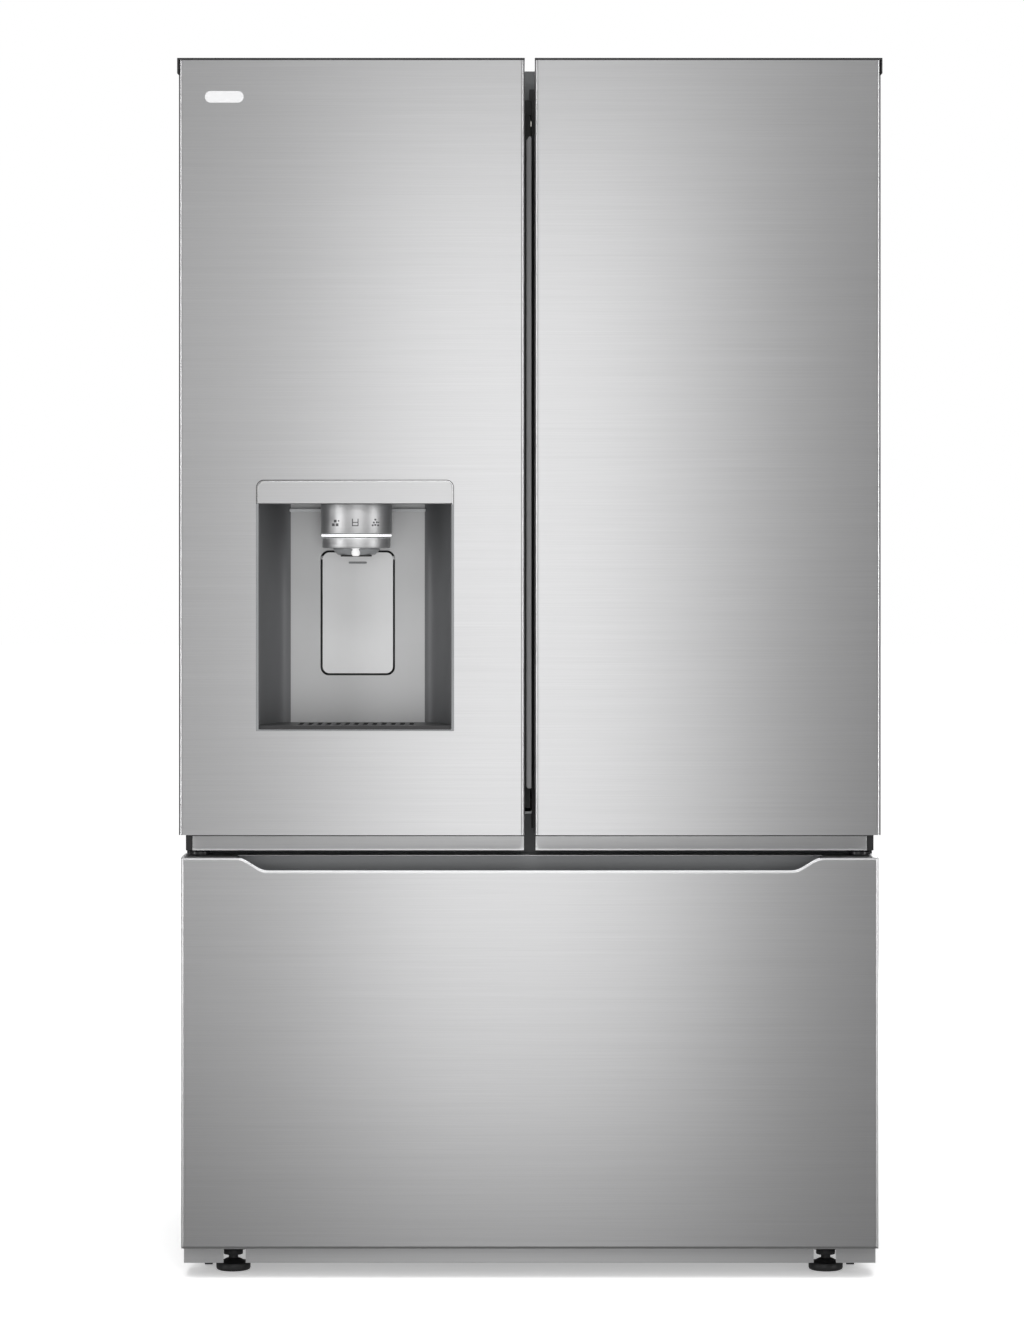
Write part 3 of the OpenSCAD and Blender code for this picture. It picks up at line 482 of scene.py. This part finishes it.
def make_bottom_strips():
    """Brushed scoops under the doors that the fingers pull on, in the brightened steel copy as painted
    sheen, and dark strips over them as painted shade of the skins' bottom folds.
    """
    cap = limits("right_door_caps")
    low, high = cap[2][0] + 1.5, SKIN[2][0] - 0.5
    lip_y, back_y = FRONT_MM + 23.6, FRONT_MM + 29.4
    section = [(back_y, high - 1.1)]
    for i in range(11):
        down = i / 10
        section.append((back_y - 1.2 - (back_y - lip_y - 1.2) * down ** 2,
                        high - 1.1 - (high - low - 1.1) * down))
    section += [(lip_y, low - 1.0), (back_y, low - 1.0)]
    for side, hand in ((-1, "left"), (1, "right")):
        x = mirrored(side, *STRIP_X)
        bm = bmesh.new()
        plate(bm, [section], x[0], x[1], "x")
        # The scoop takes the brightened copy of the steel: painted sheen.
        piece(hand + "_bottom_strip", bm, hand + "_door", "stainless", "sheen_brightened_steel", 0.4)
        # A dark strip along the skin's bottom edge: painted shade of the fold that faces down.
        bm = bmesh.new()
        slab(bm, x, (FRONT_MM + 3, back_y), (high - 1.0, high + 0.4))
        piece(hand + "_bottom_painted_shade", bm, hand + "_door", "dark_plastic", bevel=0.3)


def make_lip_strip():
    """Bright strip on the narrow lip that closes the gap between the doors."""
    grip = limits("left_side_grip")
    x, z = (-4.4, 2.4), grip[2]
    outline = [(x[1], z[1] - 2), (x[1] - 1.6, z[1]), (x[1] - 2.8, z[1]), (x[0], z[1] - 5)]
    for i in range(7):
        turn = math.radians(180 + 90 * i / 6)
        outline.append((x[0] + 3.4 + 3.4 * math.cos(turn), z[0] + 3.4 + 3.4 * math.sin(turn)))
    outline += [(x[1], z[0])]
    bm = bmesh.new()
    plate(bm, [outline], FRONT_MM + 37.2, FRONT_MM + 38.1)
    piece("gap_lip_strip", bm, "left_door", "bright_metal", "strip_metal", bevel=0.3)


def make_gap_details():
    """Guide for the flap on the cabinet, and the soft lip that laps the gap from the right door."""
    cabinet_front = limits("cabinet_wrapper")[1][0]
    top = limits("fresh_liner")[2][1]
    bm = bmesh.new()
    slab(bm, (-7.4, 7.4), (cabinet_front - 1.6, cabinet_front - 0.1), (top - 14, top + 6))
    piece("flap_guide", bm, "cabinet", "dark_plastic", bevel=0.5)
    gasket = limits("right_gasket")
    bm = bmesh.new()
    split = gasket[2][1] - 18
    for tip, low, high in ((2.4, gasket[2][0] + 2, split), (-0.5, split, gasket[2][1] - 3)):
        section = [(gasket[0][0] + 0.6, gasket[1][0] + 0.4), (tip + 0.2, gasket[1][0] + 1.2),
                   (tip, gasket[1][0] + 2.2), (gasket[0][0] + 0.6, gasket[1][0] + 2.4)]
        plate(bm, [section], low, high, "z")
    piece("gap_lip_seal", bm, "right_door", "seal", "dark_seal", bevel=0.2)


SCOOP_DIP = 17
SCOOP_RAMP = 41
SCOOP_HALF_WIDTH = 339
SCOOP_STEPS = 16
# Section of the drawer front's rim, as (inset, depth). Its first facet tilts by 20 degrees, so
# the front's edges are sharp from 14 on: smoothing would drag the shading over the flat face.
RIM = ((3.2, 0), (0.9, 0.82), (0.25, 1.9), (0, 3.6), (0, 6.9))
RIM_SHARP = 14


def scoop_outline(x, z):
    """Front outline of the drawer: its top edge dips through a smooth ramp between the ends."""
    rise = []
    for i in range(SCOOP_STEPS + 1):
        along = i / SCOOP_STEPS
        rise.append((SCOOP_HALF_WIDTH + SCOOP_RAMP * (1 - along),
                     z[1] - SCOOP_DIP * (1 - math.cos(math.pi * i / SCOOP_STEPS)) / 2))
    right = [(x[0], z[0]), (x[1], z[0]), (x[1], z[1])]
    return right + rise + [(-a, b) for a, b in reversed(rise)] + [(x[0], z[1])]


def make_drawer_front():
    """Folded steel front with a rounded edge that follows the scoop."""
    x, y, z = limits("drawer_skin")
    hw = limits("drawer_handle")[0][1] + 0.2
    bm = bmesh.new()
    rings = []
    for inset, depth in RIM:
        outline = scoop_outline((x[0] + inset, x[1] - inset), (z[0] + inset, z[1] - inset))
        rings.append([bm.verts.new((u, y[0] + depth, v)) for u, v in outline])
    for near, far in zip(rings, rings[1:]):
        join_rings(bm, near, far)
    bm.faces.new(rings[0])
    bm.faces.new(rings[-1])
    front = piece("drawer_front", bm, "freezer_drawer", "stainless", sharp=RIM_SHARP)
    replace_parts(front, "drawer_skin")
    bm = bmesh.new()
    fold = y[0] + 6.7
    pocket_back = y[0] + 43
    for side in (-1, 1):
        slab(bm, mirrored(side, x[1] - 1, x[1]), (fold, y[1]), z)
        slab(bm, mirrored(side, hw, x[1] - 0.5), (fold, y[1]), (z[1] - 1, z[1]))
    slab(bm, (x[0] + 0.5, x[1] - 0.5), (fold, y[1]), (z[0], z[0] + 1))
    slab(bm, (-hw, hw), (pocket_back, y[1]), (z[1] - 1, z[1]))
    piece("drawer_folds", bm, "freezer_drawer", "stainless", bevel=0.2)


def make_badge():
    """Plain generic pill badge near the left door's top corner."""
    skin = limits("left_door_skin")
    x, z = (skin[0][0] + 34, skin[0][0] + 84), (skin[2][1] - 55, skin[2][1] - 40)
    bm = bmesh.new()
    plate(bm, [rounded(x, z, 7.4, 10)], FRONT_MM - 0.25, FRONT_MM + 0.2)
    piece("badge", bm, "left_door", "bright_metal", "badge_silver", 0.1)


# ---- Dispenser ----

HOUSING = limits("dispenser_housing")
HOOD = limits("dispenser_hood")
HEAD = limits("dispenser_head")
PADDLE = limits("dispenser_paddle")
DISP_X = sum(HOOD[0]) / 2
OPENING_X = (HOOD[0][0] - 0.4, HOOD[0][1] + 0.4)
OPENING_Z = (HOUSING[2][0] + 3.5, HOOD[2][1] + 0.4)
ALCOVE_FLOOR = OPENING_Z[0] + 2
ALCOVE_Y = FRONT_MM + 100
BACK_HW = 88.5
ALCOVE_STEPS = 30
PADDLE_GAP = 2.9
CAVITY_GAP = 3.0
LEDGE_Z = (993.5, 998)
HOOD_CORNER = 10.0
FOOT_CORNER = 4


def alcove_line(inset):
    """Plan of the alcove's side walls: elliptical curves from the mouth to the flat back."""
    hw = (OPENING_X[1] - OPENING_X[0]) / 2 - 3
    side = []
    for i in range(ALCOVE_STEPS + 1):
        turn = math.radians(90 * i / ALCOVE_STEPS)
        side.append((BACK_HW + (hw - BACK_HW) * math.cos(turn) - inset,
                     FRONT_MM + (ALCOVE_Y - FRONT_MM) * math.sin(turn) - inset * math.sin(turn)))
    return side


def make_alcove():
    """Smooth lining of the alcove: side walls in a painted-shade copy of its paint, a back panel round
    the paddle in a painted-light copy, and a black lining as painted shade in the cavity.
    """
    low, high = ALCOVE_FLOOR + 0.1, HOOD[2][0]
    bm = bmesh.new()
    loop = alcove_line(0.7) + alcove_line(0.1)[::-1]
    for side in (-1, 1):
        plate(bm, [[(DISP_X + side * px, py) for px, py in loop]], low, high, "z")
    # The side walls take the darker copy of the alcove paint: painted shade.
    piece("alcove_sides", bm, "left_door", "grey_plastic", "alcove_shaded_copy", sharp=30)

    x = (PADDLE[0][0] + 6, PADDLE[0][1] - 6)
    hole = rounded((x[0] - PADDLE_GAP, x[1] + PADDLE_GAP),
                   (PADDLE[2][0] - PADDLE_GAP, PADDLE[2][1] + PADDLE_GAP), 11.6)
    outline = [(DISP_X - BACK_HW + 0.4, low), (DISP_X + BACK_HW - 0.4, low),
               (DISP_X + BACK_HW - 0.4, high), (DISP_X - BACK_HW + 0.4, high)]
    bm = bmesh.new()
    plate(bm, [outline, hole], ALCOVE_Y - 0.9, ALCOVE_Y - 0.1)
    # The back panel takes the lighter copy of the alcove paint: painted light.
    piece("alcove_back", bm, "left_door", "light_grey_plastic", "alcove_lit_copy", sharp=30)

    # Black lining round and behind the paddle: a dark sheet put in the cavity as painted shade.
    cavity_x = (x[0] - CAVITY_GAP, x[1] + CAVITY_GAP)
    cavity_z = (PADDLE[2][0] - CAVITY_GAP, PADDLE[2][1] + CAVITY_GAP)
    deep = HOUSING[1][1] - 4.2
    outer = rounded(cavity_x, cavity_z, 1.0, 2)
    inner = rounded((cavity_x[0] + 0.4, cavity_x[1] - 0.4),
                    (cavity_z[0] + 0.4, cavity_z[1] - 0.4), 0.8, 2)
    bm = bmesh.new()
    plate(bm, [outer, inner], ALCOVE_Y + 10, deep)
    plate(bm, [outer], deep - 0.5, deep)
    piece("paddle_shade_lining", bm, "left_door", "dark_plastic")

    bm = bmesh.new()
    slab(bm, (DISP_X - BACK_HW - 1, DISP_X + BACK_HW + 1), (ALCOVE_Y - 6, ALCOVE_Y - 1), LEDGE_Z)
    piece("alcove_ledge", bm, "left_door", "light_grey_plastic", bevel=1.4, segments=3)


def make_hood():
    """Flush hood over the alcove with the thin dark line and the bright trim round the opening."""
    bm = bmesh.new()
    x = (OPENING_X[0] + 2.1, OPENING_X[1] - 2.1)
    plate(bm, [rounded(x, (HOOD[2][0], OPENING_Z[1] - 2.1), [8.2, 8.2, 1.0, 1.0])],
          FRONT_MM + 0.1, HOOD[1][1])
    cap = piece("hood_cap", bm, "left_door", "bright_metal", "hood_metal", 1.1, 3)
    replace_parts(cap, "dispenser_hood")

    def ring(inset_out, inset_in, y, name, slot):
        loops = []
        for inset in (inset_out, inset_in):
            radii = [r - inset for r in (HOOD_CORNER, HOOD_CORNER, FOOT_CORNER, FOOT_CORNER)]
            loops.append(rounded((OPENING_X[0] + inset, OPENING_X[1] - inset),
                                 (OPENING_Z[0] + inset, OPENING_Z[1] - inset), radii, 8))
        ring_mesh = bmesh.new()
        plate(ring_mesh, loops, *y)
        piece(name, ring_mesh, "left_door", slot, bevel=0.25)

    ring(0.1, 1.0, (FRONT_MM + 0.02, FRONT_MM + 6), "dispenser_gap", "dark_plastic")
    ring(0.9, 2.0, (FRONT_MM + 0.3, FRONT_MM + 5.5), "dispenser_trim", "bright_metal")


# Rectangles of each printed sign, as (right, up, width, height) from its middle, before scaling.
PICTOGRAMS = {
    "ice_cubes": [(-3.4, 0, 2.8, 2.8), (0.4, 0, 2.8, 2.8), (-1.5, 3.6, 2.8, 2.8),
                  (2.6, 4.6, 1.4, 1.4)],
    "glass": [(-3.2, 0, 0.9, 7.4), (2.4, 0, 0.9, 7.4), (-2.6, 0, 5.2, 0.9), (-2.4, 3.4, 4.9, 0.8)],
    "crushed_ice": [(-3.6, 0, 1.7, 1.7), (-1.0, 0.4, 1.7, 1.7), (1.7, 0, 1.7, 1.7),
                    (-2.4, 2.8, 1.7, 1.7), (0.4, 3.0, 1.7, 1.7), (-1.0, 5.6, 1.7, 1.7),
                    (2.4, 3.2, 1.2, 1.2)],
}
PICTOGRAM_SCALE = 1.3
PICTOGRAM_SPACING = 26
PADDLE_MARK_Z = (925.2, 928.0)


def make_head():
    """Round control head with its signs, light ring, collar, chute and nozzle; paddle's mark."""
    centre = (DISP_X, sum(HEAD[1]) / 2, 0)
    radius = (HEAD[0][1] - HEAD[0][0]) / 2
    low = HEAD[2][0]
    bm = bmesh.new()
    turned(bm, radius, HEAD[2], centre, 0.8)
    head = piece("control_head", bm, "left_door", "bright_metal", "turned_metal", sharp=50)
    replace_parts(head, "dispenser_head")

    def on_head(arc, reach):
        return [(centre[0] + reach * math.sin(a), centre[1] - reach * math.cos(a)) for a in arc]

    bm = bmesh.new()
    for place, marks in zip((-1, 0, 1), PICTOGRAMS.values()):
        middle = place * PICTOGRAM_SPACING
        for u, v, w, h in marks:
            arc = [math.asin((middle + PICTOGRAM_SCALE * (u + w * i / 3)) / radius)
                   for i in range(4)]
            outline = on_head(arc, radius + 0.12) + on_head(arc, radius - 0.4)[::-1]
            base = low + 10 + PICTOGRAM_SCALE * v
            plate(bm, [outline], base, base + PICTOGRAM_SCALE * h, "z")
    piece("head_pictograms", bm, "left_door", "dark_plastic", "printed_grey")

    bm = bmesh.new()
    turned(bm, radius - 0.8, (low - 3.4, low - 0.9), centre, 0.5)
    light = piece("light_ring", bm, "left_door", "lamp", "ring_light", sharp=50)
    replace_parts(light, "dispenser_spout")
    bm = bmesh.new()
    turned(bm, radius - 2.6, (low - 5.0, low), centre, 0.4)
    piece("collar_gap", bm, "left_door", "dark_plastic")
    bm = bmesh.new()
    turned(bm, radius - 1.9, (low - 18.6, low - 4.8), centre, 1.0)
    piece("collar", bm, "left_door", "bright_metal", "turned_metal", sharp=50)
    bm = bmesh.new()
    lathe(bm, [(22, low - 27.5), (24.5, low - 27.2), (30.4, low - 21), (30.4, low - 18.5)], centre)
    piece("ice_chute", bm, "left_door", "grey_plastic", bevel=0.5, sharp=50)
    bm = bmesh.new()
    nozzle = (centre[0], centre[1] - 26, 0)
    lathe(bm, [(3.2, low - 28.9), (4.6, low - 28.4), (5.8, low - 26), (5.8, low - 19.5),
               (6.8, low - 19.2), (6.8, low - 18.3)], nozzle, segments=40)
    piece("water_nozzle", bm, "left_door", "light_grey_plastic", "nozzle_white", sharp=50)
    bm = bmesh.new()
    plate(bm, [rounded((DISP_X - 20, DISP_X + 20), (centre[1] - 22, centre[1] + 14), 4)],
          low - 29.6, low - 27.6, "z")
    piece("chute_flap", bm, "left_door", "dark_plastic", bevel=0.5)
    bm = bmesh.new()
    plate(bm, [rounded((DISP_X - 12, DISP_X + 12), PADDLE_MARK_Z, 1.3)],
          PADDLE[1][0] - 0.15, PADDLE[1][0] + 0.3)
    piece("paddle_mark", bm, "dispenser_paddle", "grey_plastic")


# ---- Interior ----

SHELF_LEVELS = (1090, 1300)
COVER_TRIM_Z = (884, 898.5)
BIN_TOPS = {"left_door": (692, 1490), "right_door": (722, 935, 1175)}
LINER_RIB_LEVELS = (990, 1010, 1200, 1220, 1410, 1430)
LINER_RIB_Y = (-200, 180)
DOOR_RIB_X = ((64, 68), (376, 380))
DOOR_RIB_Z = {"left_door": (640, 695), "right_door": (640, 1490)}
ICE_RIBS = 7
LAMP_RIBS = 22
DOORS = ((-1, "left_door"), (1, "right_door"))


def trim(name, body, x, y, z, slot="bright_metal"):
    bm = bmesh.new()
    slab(bm, x, y, z)
    piece(name, bm, body, slot, bevel=1.2, segments=3)


def make_interior_trims():
    """Front trims of shelves, bins and drawers."""
    cavity = limits("fresh_liner")[0][1] - 3
    for level in SHELF_LEVELS:
        for side, hand in ((-1, "left"), (1, "right")):
            trim(f"shelf_trim_{level}_{hand}", "cabinet", mirrored(side, 7, cavity - 7),
                 (-153, -148.5), (level - 2, level + 13.2))
    trim("drawer_cover_trim", "cabinet", (-cavity + 1, cavity - 1), (-118.2, -113.5), COVER_TRIM_Z)
    bins = limits("right_door_bins")
    for side, body in DOORS:
        for top in BIN_TOPS[body]:
            trim(f"bin_trim_{body}_{top}", body, mirrored(side, bins[0][0] + 9, bins[0][1] - 9),
                 (bins[1][1] - 0.6, bins[1][1] + 1.6), (top - 17, top - 2))
    for body, name in (("left_crisper", "left_crisper_trim"), ("right_crisper", "right_crisper_trim"),
                       ("pantry_drawer", "pantry_trim")):
        x, y, z = limits(body)
        trim(name, body, (x[0] + 20, x[1] - 20), (y[0] + 9.5, y[0] + 12.6),
             (z[1] - 18, z[1] - 3.2))
    x, y, z = limits("freezer_basket")
    trim("basket_trim", "freezer_drawer", (x[0] + 34, x[1] - 34), (y[0] - 1.6, y[0] + 0.6),
         (z[1] - 26, z[1] - 4), "grey_plastic")


def make_ice_details():
    """Bezel round the ice compartment's mouth, its chute ring, and ribs on its sides."""
    x, y, z = limits("ice_compartment")
    mouth_x, mouth_z = (x[0] + 22, x[1] - 22), (z[0] + 60, z[1] - 22)
    bm = bmesh.new()
    plate(bm, [rounded((mouth_x[0] - 8, mouth_x[1] + 8), (mouth_z[0] - 8, mouth_z[1] + 8), 10),
               rounded(mouth_x, mouth_z, 4)], y[1] - 0.5, y[1] + 2.6)
    piece("ice_bezel", bm, "left_door", "light_grey_plastic", bevel=1.0, segments=3)
    bm = bmesh.new()
    middle = ((x[0] + x[1]) / 2, (y[0] + y[1]) / 2, 0)
    lathe(bm, [(44, z[0] + 6), (44, z[0] + 9), (40, z[0] + 11), (30, z[0] + 11),
               (28, z[0] + 6.2)], middle)
    piece("ice_chute_ring", bm, "left_door", "dark_plastic", sharp=50)
    bm = bmesh.new()
    for i in range(ICE_RIBS):
        level = z[0] + 110 + 30 * i
        for end in ((x[0] - 1.2, x[0] + 0.5), (x[1] - 0.5, x[1] + 1.2)):
            slab(bm, end, (y[0] + 30, y[1] - 14), (level, level + 6))
    piece("ice_compartment_ribs", bm, "left_door", "white_liner", bevel=0.5)


def make_ceiling_lamp():
    """Ribbed lens in a bezel on the ceiling."""
    x, y, z = limits("ceiling_light")
    bm = bmesh.new()
    plate(bm, [rounded((x[0] - 6, x[1] + 6), (y[0] - 6, y[1] + 6), 16),
               rounded((x[0] + 2, x[1] - 2), (y[0] + 2, y[1] - 2), 10)], z[0] - 1.5, z[1], "z")
    piece("lamp_bezel", bm, "cabinet", "white_liner", bevel=1.0, segments=3)
    bm = bmesh.new()
    for i in range(LAMP_RIBS):
        left = x[0] + 8 + (x[1] - x[0] - 16) * i / LAMP_RIBS
        slab(bm, (left, left + 6), (y[0] + 8, y[1] - 8), (z[0] - 1.0, z[0] + 0.5))
    piece("lamp_ribs", bm, "cabinet", "lamp", bevel=0.4)


def make_liner_details():
    """Raised ribs on the side walls of the fresh compartment and on the doors' inner shells."""
    cavity = limits("fresh_liner")[0][1] - 3
    bm = bmesh.new()
    for side in (-1, 1):
        for level in LINER_RIB_LEVELS:
            slab(bm, mirrored(side, cavity - 2.2, cavity + 0.5), LINER_RIB_Y, (level, level + 7))
    piece("liner_ribs", bm, "cabinet", "white_liner", bevel=1.0, segments=3)
    back = DOOR_BACK + 0.2
    for side, body in DOORS:
        bm = bmesh.new()
        for x in DOOR_RIB_X:
            slab(bm, mirrored(side, *x), (back - 0.8, back + 2.2), DOOR_RIB_Z[body])
        piece(body + "_liner_ribs", bm, body, "white_liner", bevel=0.8)


# ---- Back ----

BACK_RIB_X = (-300, -100, 100, 300)
RATING_PLATE_X = (180, 300)
INLET_HEIGHT = 140
COVER_RIB_X = (418, 442)
HINGE_SCREW_X = (434, 444)
HINGE_SCREW_Z = 536


def screw(bm, centre, radius=4.2, high=1.6, outward=1):
    """A pan head screw along y with a dimple sunk into its head."""
    profile = [(radius, 0), (radius, 0.4 * high), (0.8 * radius, 0.85 * high), (0.45 * radius, high),
               (0.3 * radius, 0.55 * high)]
    lathe(bm, [(r, outward * h) for r, h in profile], centre, "y", 24)


def make_back():
    """Pressed ribs, screws, a blank rating plate, and the water fitting's collar and thread."""
    panel = limits("rear_panel")
    cover = limits("rear_cover")
    x, z = panel[0], (cover[2][1] + 1, panel[2][1])
    face = panel[1][1]
    bm = bmesh.new()
    for cx in BACK_RIB_X:
        plate(bm, [rounded((cx - 9, cx + 9), (z[0] + 70, z[1] - 70), 8.9, 10)], face - 0.5, face + 1.6)
    piece("back_ribs", bm, "cabinet", "galvanised", bevel=1.3, segments=3)
    bm = bmesh.new()
    for cx in (x[0] + 14, x[1] - 14):
        for i in range(5):
            screw(bm, (cx, face, z[0] + 40 + i * (z[1] - z[0] - 80) / 4))
    for i in range(5):
        screw(bm, (x[0] + 110 + i * (x[1] - x[0] - 220) / 4, face, z[1] - 16))
    cover_face = cover[1][1] - 6
    for cx in (cover[0][0] + 14, -150, 0, 150, cover[0][1] - 14):
        for cz in (cover[2][0] + 12, cover[2][1] - 12):
            screw(bm, (cx, cover_face, cz))
    piece("back_screws", bm, "cabinet", "zinc_steel", sharp=50)
    bm = bmesh.new()
    plate(bm, [rounded(RATING_PLATE_X, (z[1] - 260, z[1] - 180), 5)], face - 0.2, face + 0.35)
    piece("rating_plate", bm, "cabinet", "light_grey_plastic")
    valve = limits("water_valve")
    inlet_x, tip = (valve[0][0] + valve[0][1]) / 2, valve[1][1]
    bm = bmesh.new()
    lathe(bm, [(13, 0), (13, 1.6), (12, 2.6), (9.6, 2.8), (9.3, 1.4), (9.3, 0)],
          (inlet_x, cover_face, INLET_HEIGHT), "y", 40)
    piece("fitting_collar", bm, "cabinet", "dark_plastic", sharp=50)
    bm = bmesh.new()
    for i in range(5):
        lathe(bm, [(6.3, -0.6), (6.9, 0), (6.3, 0.6)],
              (inlet_x, tip - 2 - 1.8 * i, INLET_HEIGHT), "y", 40)
    piece("fitting_thread", bm, "cabinet", "bright_metal", sharp=80)


def make_hinge_details():
    """Screws on the hinge plates and the ribs moulded on their covers."""
    cover = limits("hinge_covers")
    bm = bmesh.new()
    for side in (-1, 1):
        for i in range(4):
            y = cover[1][0] + 60 + 18 * i
            slab(bm, mirrored(side, *COVER_RIB_X), (y, y + 8), (cover[2][1] - 0.4, cover[2][1]))
    piece("hinge_cover_ribs", bm, "cabinet", "dark_plastic", bevel=0.15)
    plates = limits("hinge_brackets")
    bm = bmesh.new()
    for side in (-1, 1):
        for x in HINGE_SCREW_X:
            screw(bm, (side * x, plates[1][0] + 55.6, HINGE_SCREW_Z), 3.0, 1.4, -1)
    piece("middle_hinge_screws", bm, "cabinet", "zinc_steel", sharp=50)


def make_feet():
    """Levelling feet: a thick puck, a neck, a lock ring and a threaded stem."""
    for name in ("left_foot", "right_foot"):
        x, y, z = limits(name)
        centre = (sum(x) / 2, sum(y) / 2, z[0])
        radius = (x[1] - x[0]) / 2
        profile = [(radius - 2.6, 0), (radius - 0.8, 0.9), (radius, 2.8), (radius, 9.0),
                   (radius - 0.8, 10.0), (radius - 7.5, 10.6), (radius - 9.5, 12.6), (9.6, 14.4),
                   (6.4, 15.4), (6.0, 19.4), (12.2, 20.2), (12.6, 21.0), (12.6, 26.6), (12.0, 27.4),
                   (4.9, 27.6)]
        thread = [(4.9 - 0.35 * (i % 2), 28.5 + 0.75 * i) for i in range(11)]
        bm = bmesh.new()
        lathe(bm, profile + thread + [(4.9, z[1] - z[0])], centre)
        finer = name.replace("foot", "levelling_foot")
        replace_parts(piece(finer, bm, name, "dark_plastic", sharp=40), name)


# ---- Studio ----

FLOOR_SIZE = 60
FLOOR_DROP = 0.0005
FLOOR_GLOW = 0.42
WORLD_LIGHT = 0.16


def make_stage():
    """A wide pale floor."""
    bpy.ops.mesh.primitive_plane_add(size=FLOOR_SIZE, location=(0, 0, -FLOOR_DROP))
    floor = bpy.context.object
    floor.name = "floor"
    material, shader, add, link = new_material("floor_paper")
    patches = noise(add, link, coordinates(add, link, (0.6, 0.6, 0.6)), 1.0, 2.0, 0.5)
    tone = ramp(add, link, patches, 0.3, 0.7, ((0.90, 0.90, 0.90), (0.93, 0.93, 0.93)))
    link(tone, shader.inputs["Base Color"])
    link(tone, shader.inputs["Emission Color"])
    shader.inputs["Emission Strength"].default_value = FLOOR_GLOW
    shader.inputs["Roughness"].default_value = 0.9
    shader.inputs["Specular IOR Level"].default_value = 0.0
    floor.data.materials.append(material)
    floor.visible_glossy = False


def make_world():
    """White behind the object, and a softer grey surround in reflections."""
    world = bpy.data.worlds.new("surround")
    bpy.context.scene.world = world
    world.use_nodes = True
    tree = world.node_tree
    tree.nodes.clear()
    out = tree.nodes.new("ShaderNodeOutputWorld")
    mix = tree.nodes.new("ShaderNodeMixShader")
    seen = tree.nodes.new("ShaderNodeBackground")
    lit = tree.nodes.new("ShaderNodeBackground")
    path = tree.nodes.new("ShaderNodeLightPath")
    seen.inputs["Color"].default_value = (1, 1, 1, 1)
    seen.inputs["Strength"].default_value = 1.0
    lit.inputs["Color"].default_value = (1, 1, 1, 1)
    lit.inputs["Strength"].default_value = WORLD_LIGHT
    tree.links.new(path.outputs["Is Camera Ray"], mix.inputs["Fac"])
    tree.links.new(lit.outputs["Background"], mix.inputs[1])
    tree.links.new(seen.outputs["Background"], mix.inputs[2])
    tree.links.new(mix.outputs["Shader"], out.inputs["Surface"])


def soft_light(name, place, aim, size, power):
    """A rectangular lamp at place, turned to aim, that the camera doesn't see."""
    data = bpy.data.lights.new(name, "AREA")
    data.shape = "RECTANGLE"
    data.size, data.size_y = size
    data.energy = power
    light = bpy.data.objects.new(name, data)
    bpy.context.scene.collection.objects.link(light)
    light.location = place
    light.rotation_euler = (Vector(aim) - Vector(place)).to_track_quat("-Z", "Y").to_euler()
    light.visible_camera = False


def sky_light():
    """Even light from above, so that the floor is equally bright near and far."""
    data = bpy.data.lights.new("sky", "SUN")
    data.energy = SKY_STRENGTH
    data.angle = math.radians(SKY_ANGLE)
    light = bpy.data.objects.new("sky", data)
    bpy.context.scene.collection.objects.link(light)
    light.rotation_euler = (math.radians(SKY_TILT), 0, 0)


# Where each lamp stands, where it is turned to, its size in metres and its power in watts.
BANK_Y = FRONT - 1.4
BANKS = (
    ("centre_bank", (-0.01, BANK_Y, 0.82), (-0.01, 0, 0.82), (0.60, 1.72), 5.15),
    ("left_bank", (-0.68, BANK_Y, 0.82), (-0.6, 0, 0.82), (0.4, 1.60), 0.8),
    ("high_bank", (0, FRONT - 1.5, 3.0), (0, FRONT, 0.9), (2.6, 0.5), 24),
    ("side_bank", (-2.3, BANK_Y, 0.95), (0, FRONT, 0.95), (0.4, 2.2), 20),
    ("side_bank", (2.3, BANK_Y, 0.95), (0, FRONT, 0.95), (0.4, 2.2), 20),
    ("back_bank", (0.5, 3.2, 2.0), (0, 0.3, 0.8), (2.4, 2.0), 45),
)
SKY_STRENGTH = 1.9
SKY_ANGLE = 60
SKY_TILT = 12


def make_lights():
    for bank in BANKS:
        soft_light(*bank)
    sky_light()


make_camera()
make_world()
make_stage()
make_lights()
dress_cad_nodes()
make_gaskets()
make_bottom_strips()
make_lip_strip()
make_gap_details()
make_drawer_front()
make_badge()
make_alcove()
make_hood()
make_head()
make_interior_trims()
make_ice_details()
make_ceiling_lamp()
make_liner_details()
make_back()
make_hinge_details()
make_feet()

bpy.context.scene.view_settings.view_transform = "Standard"
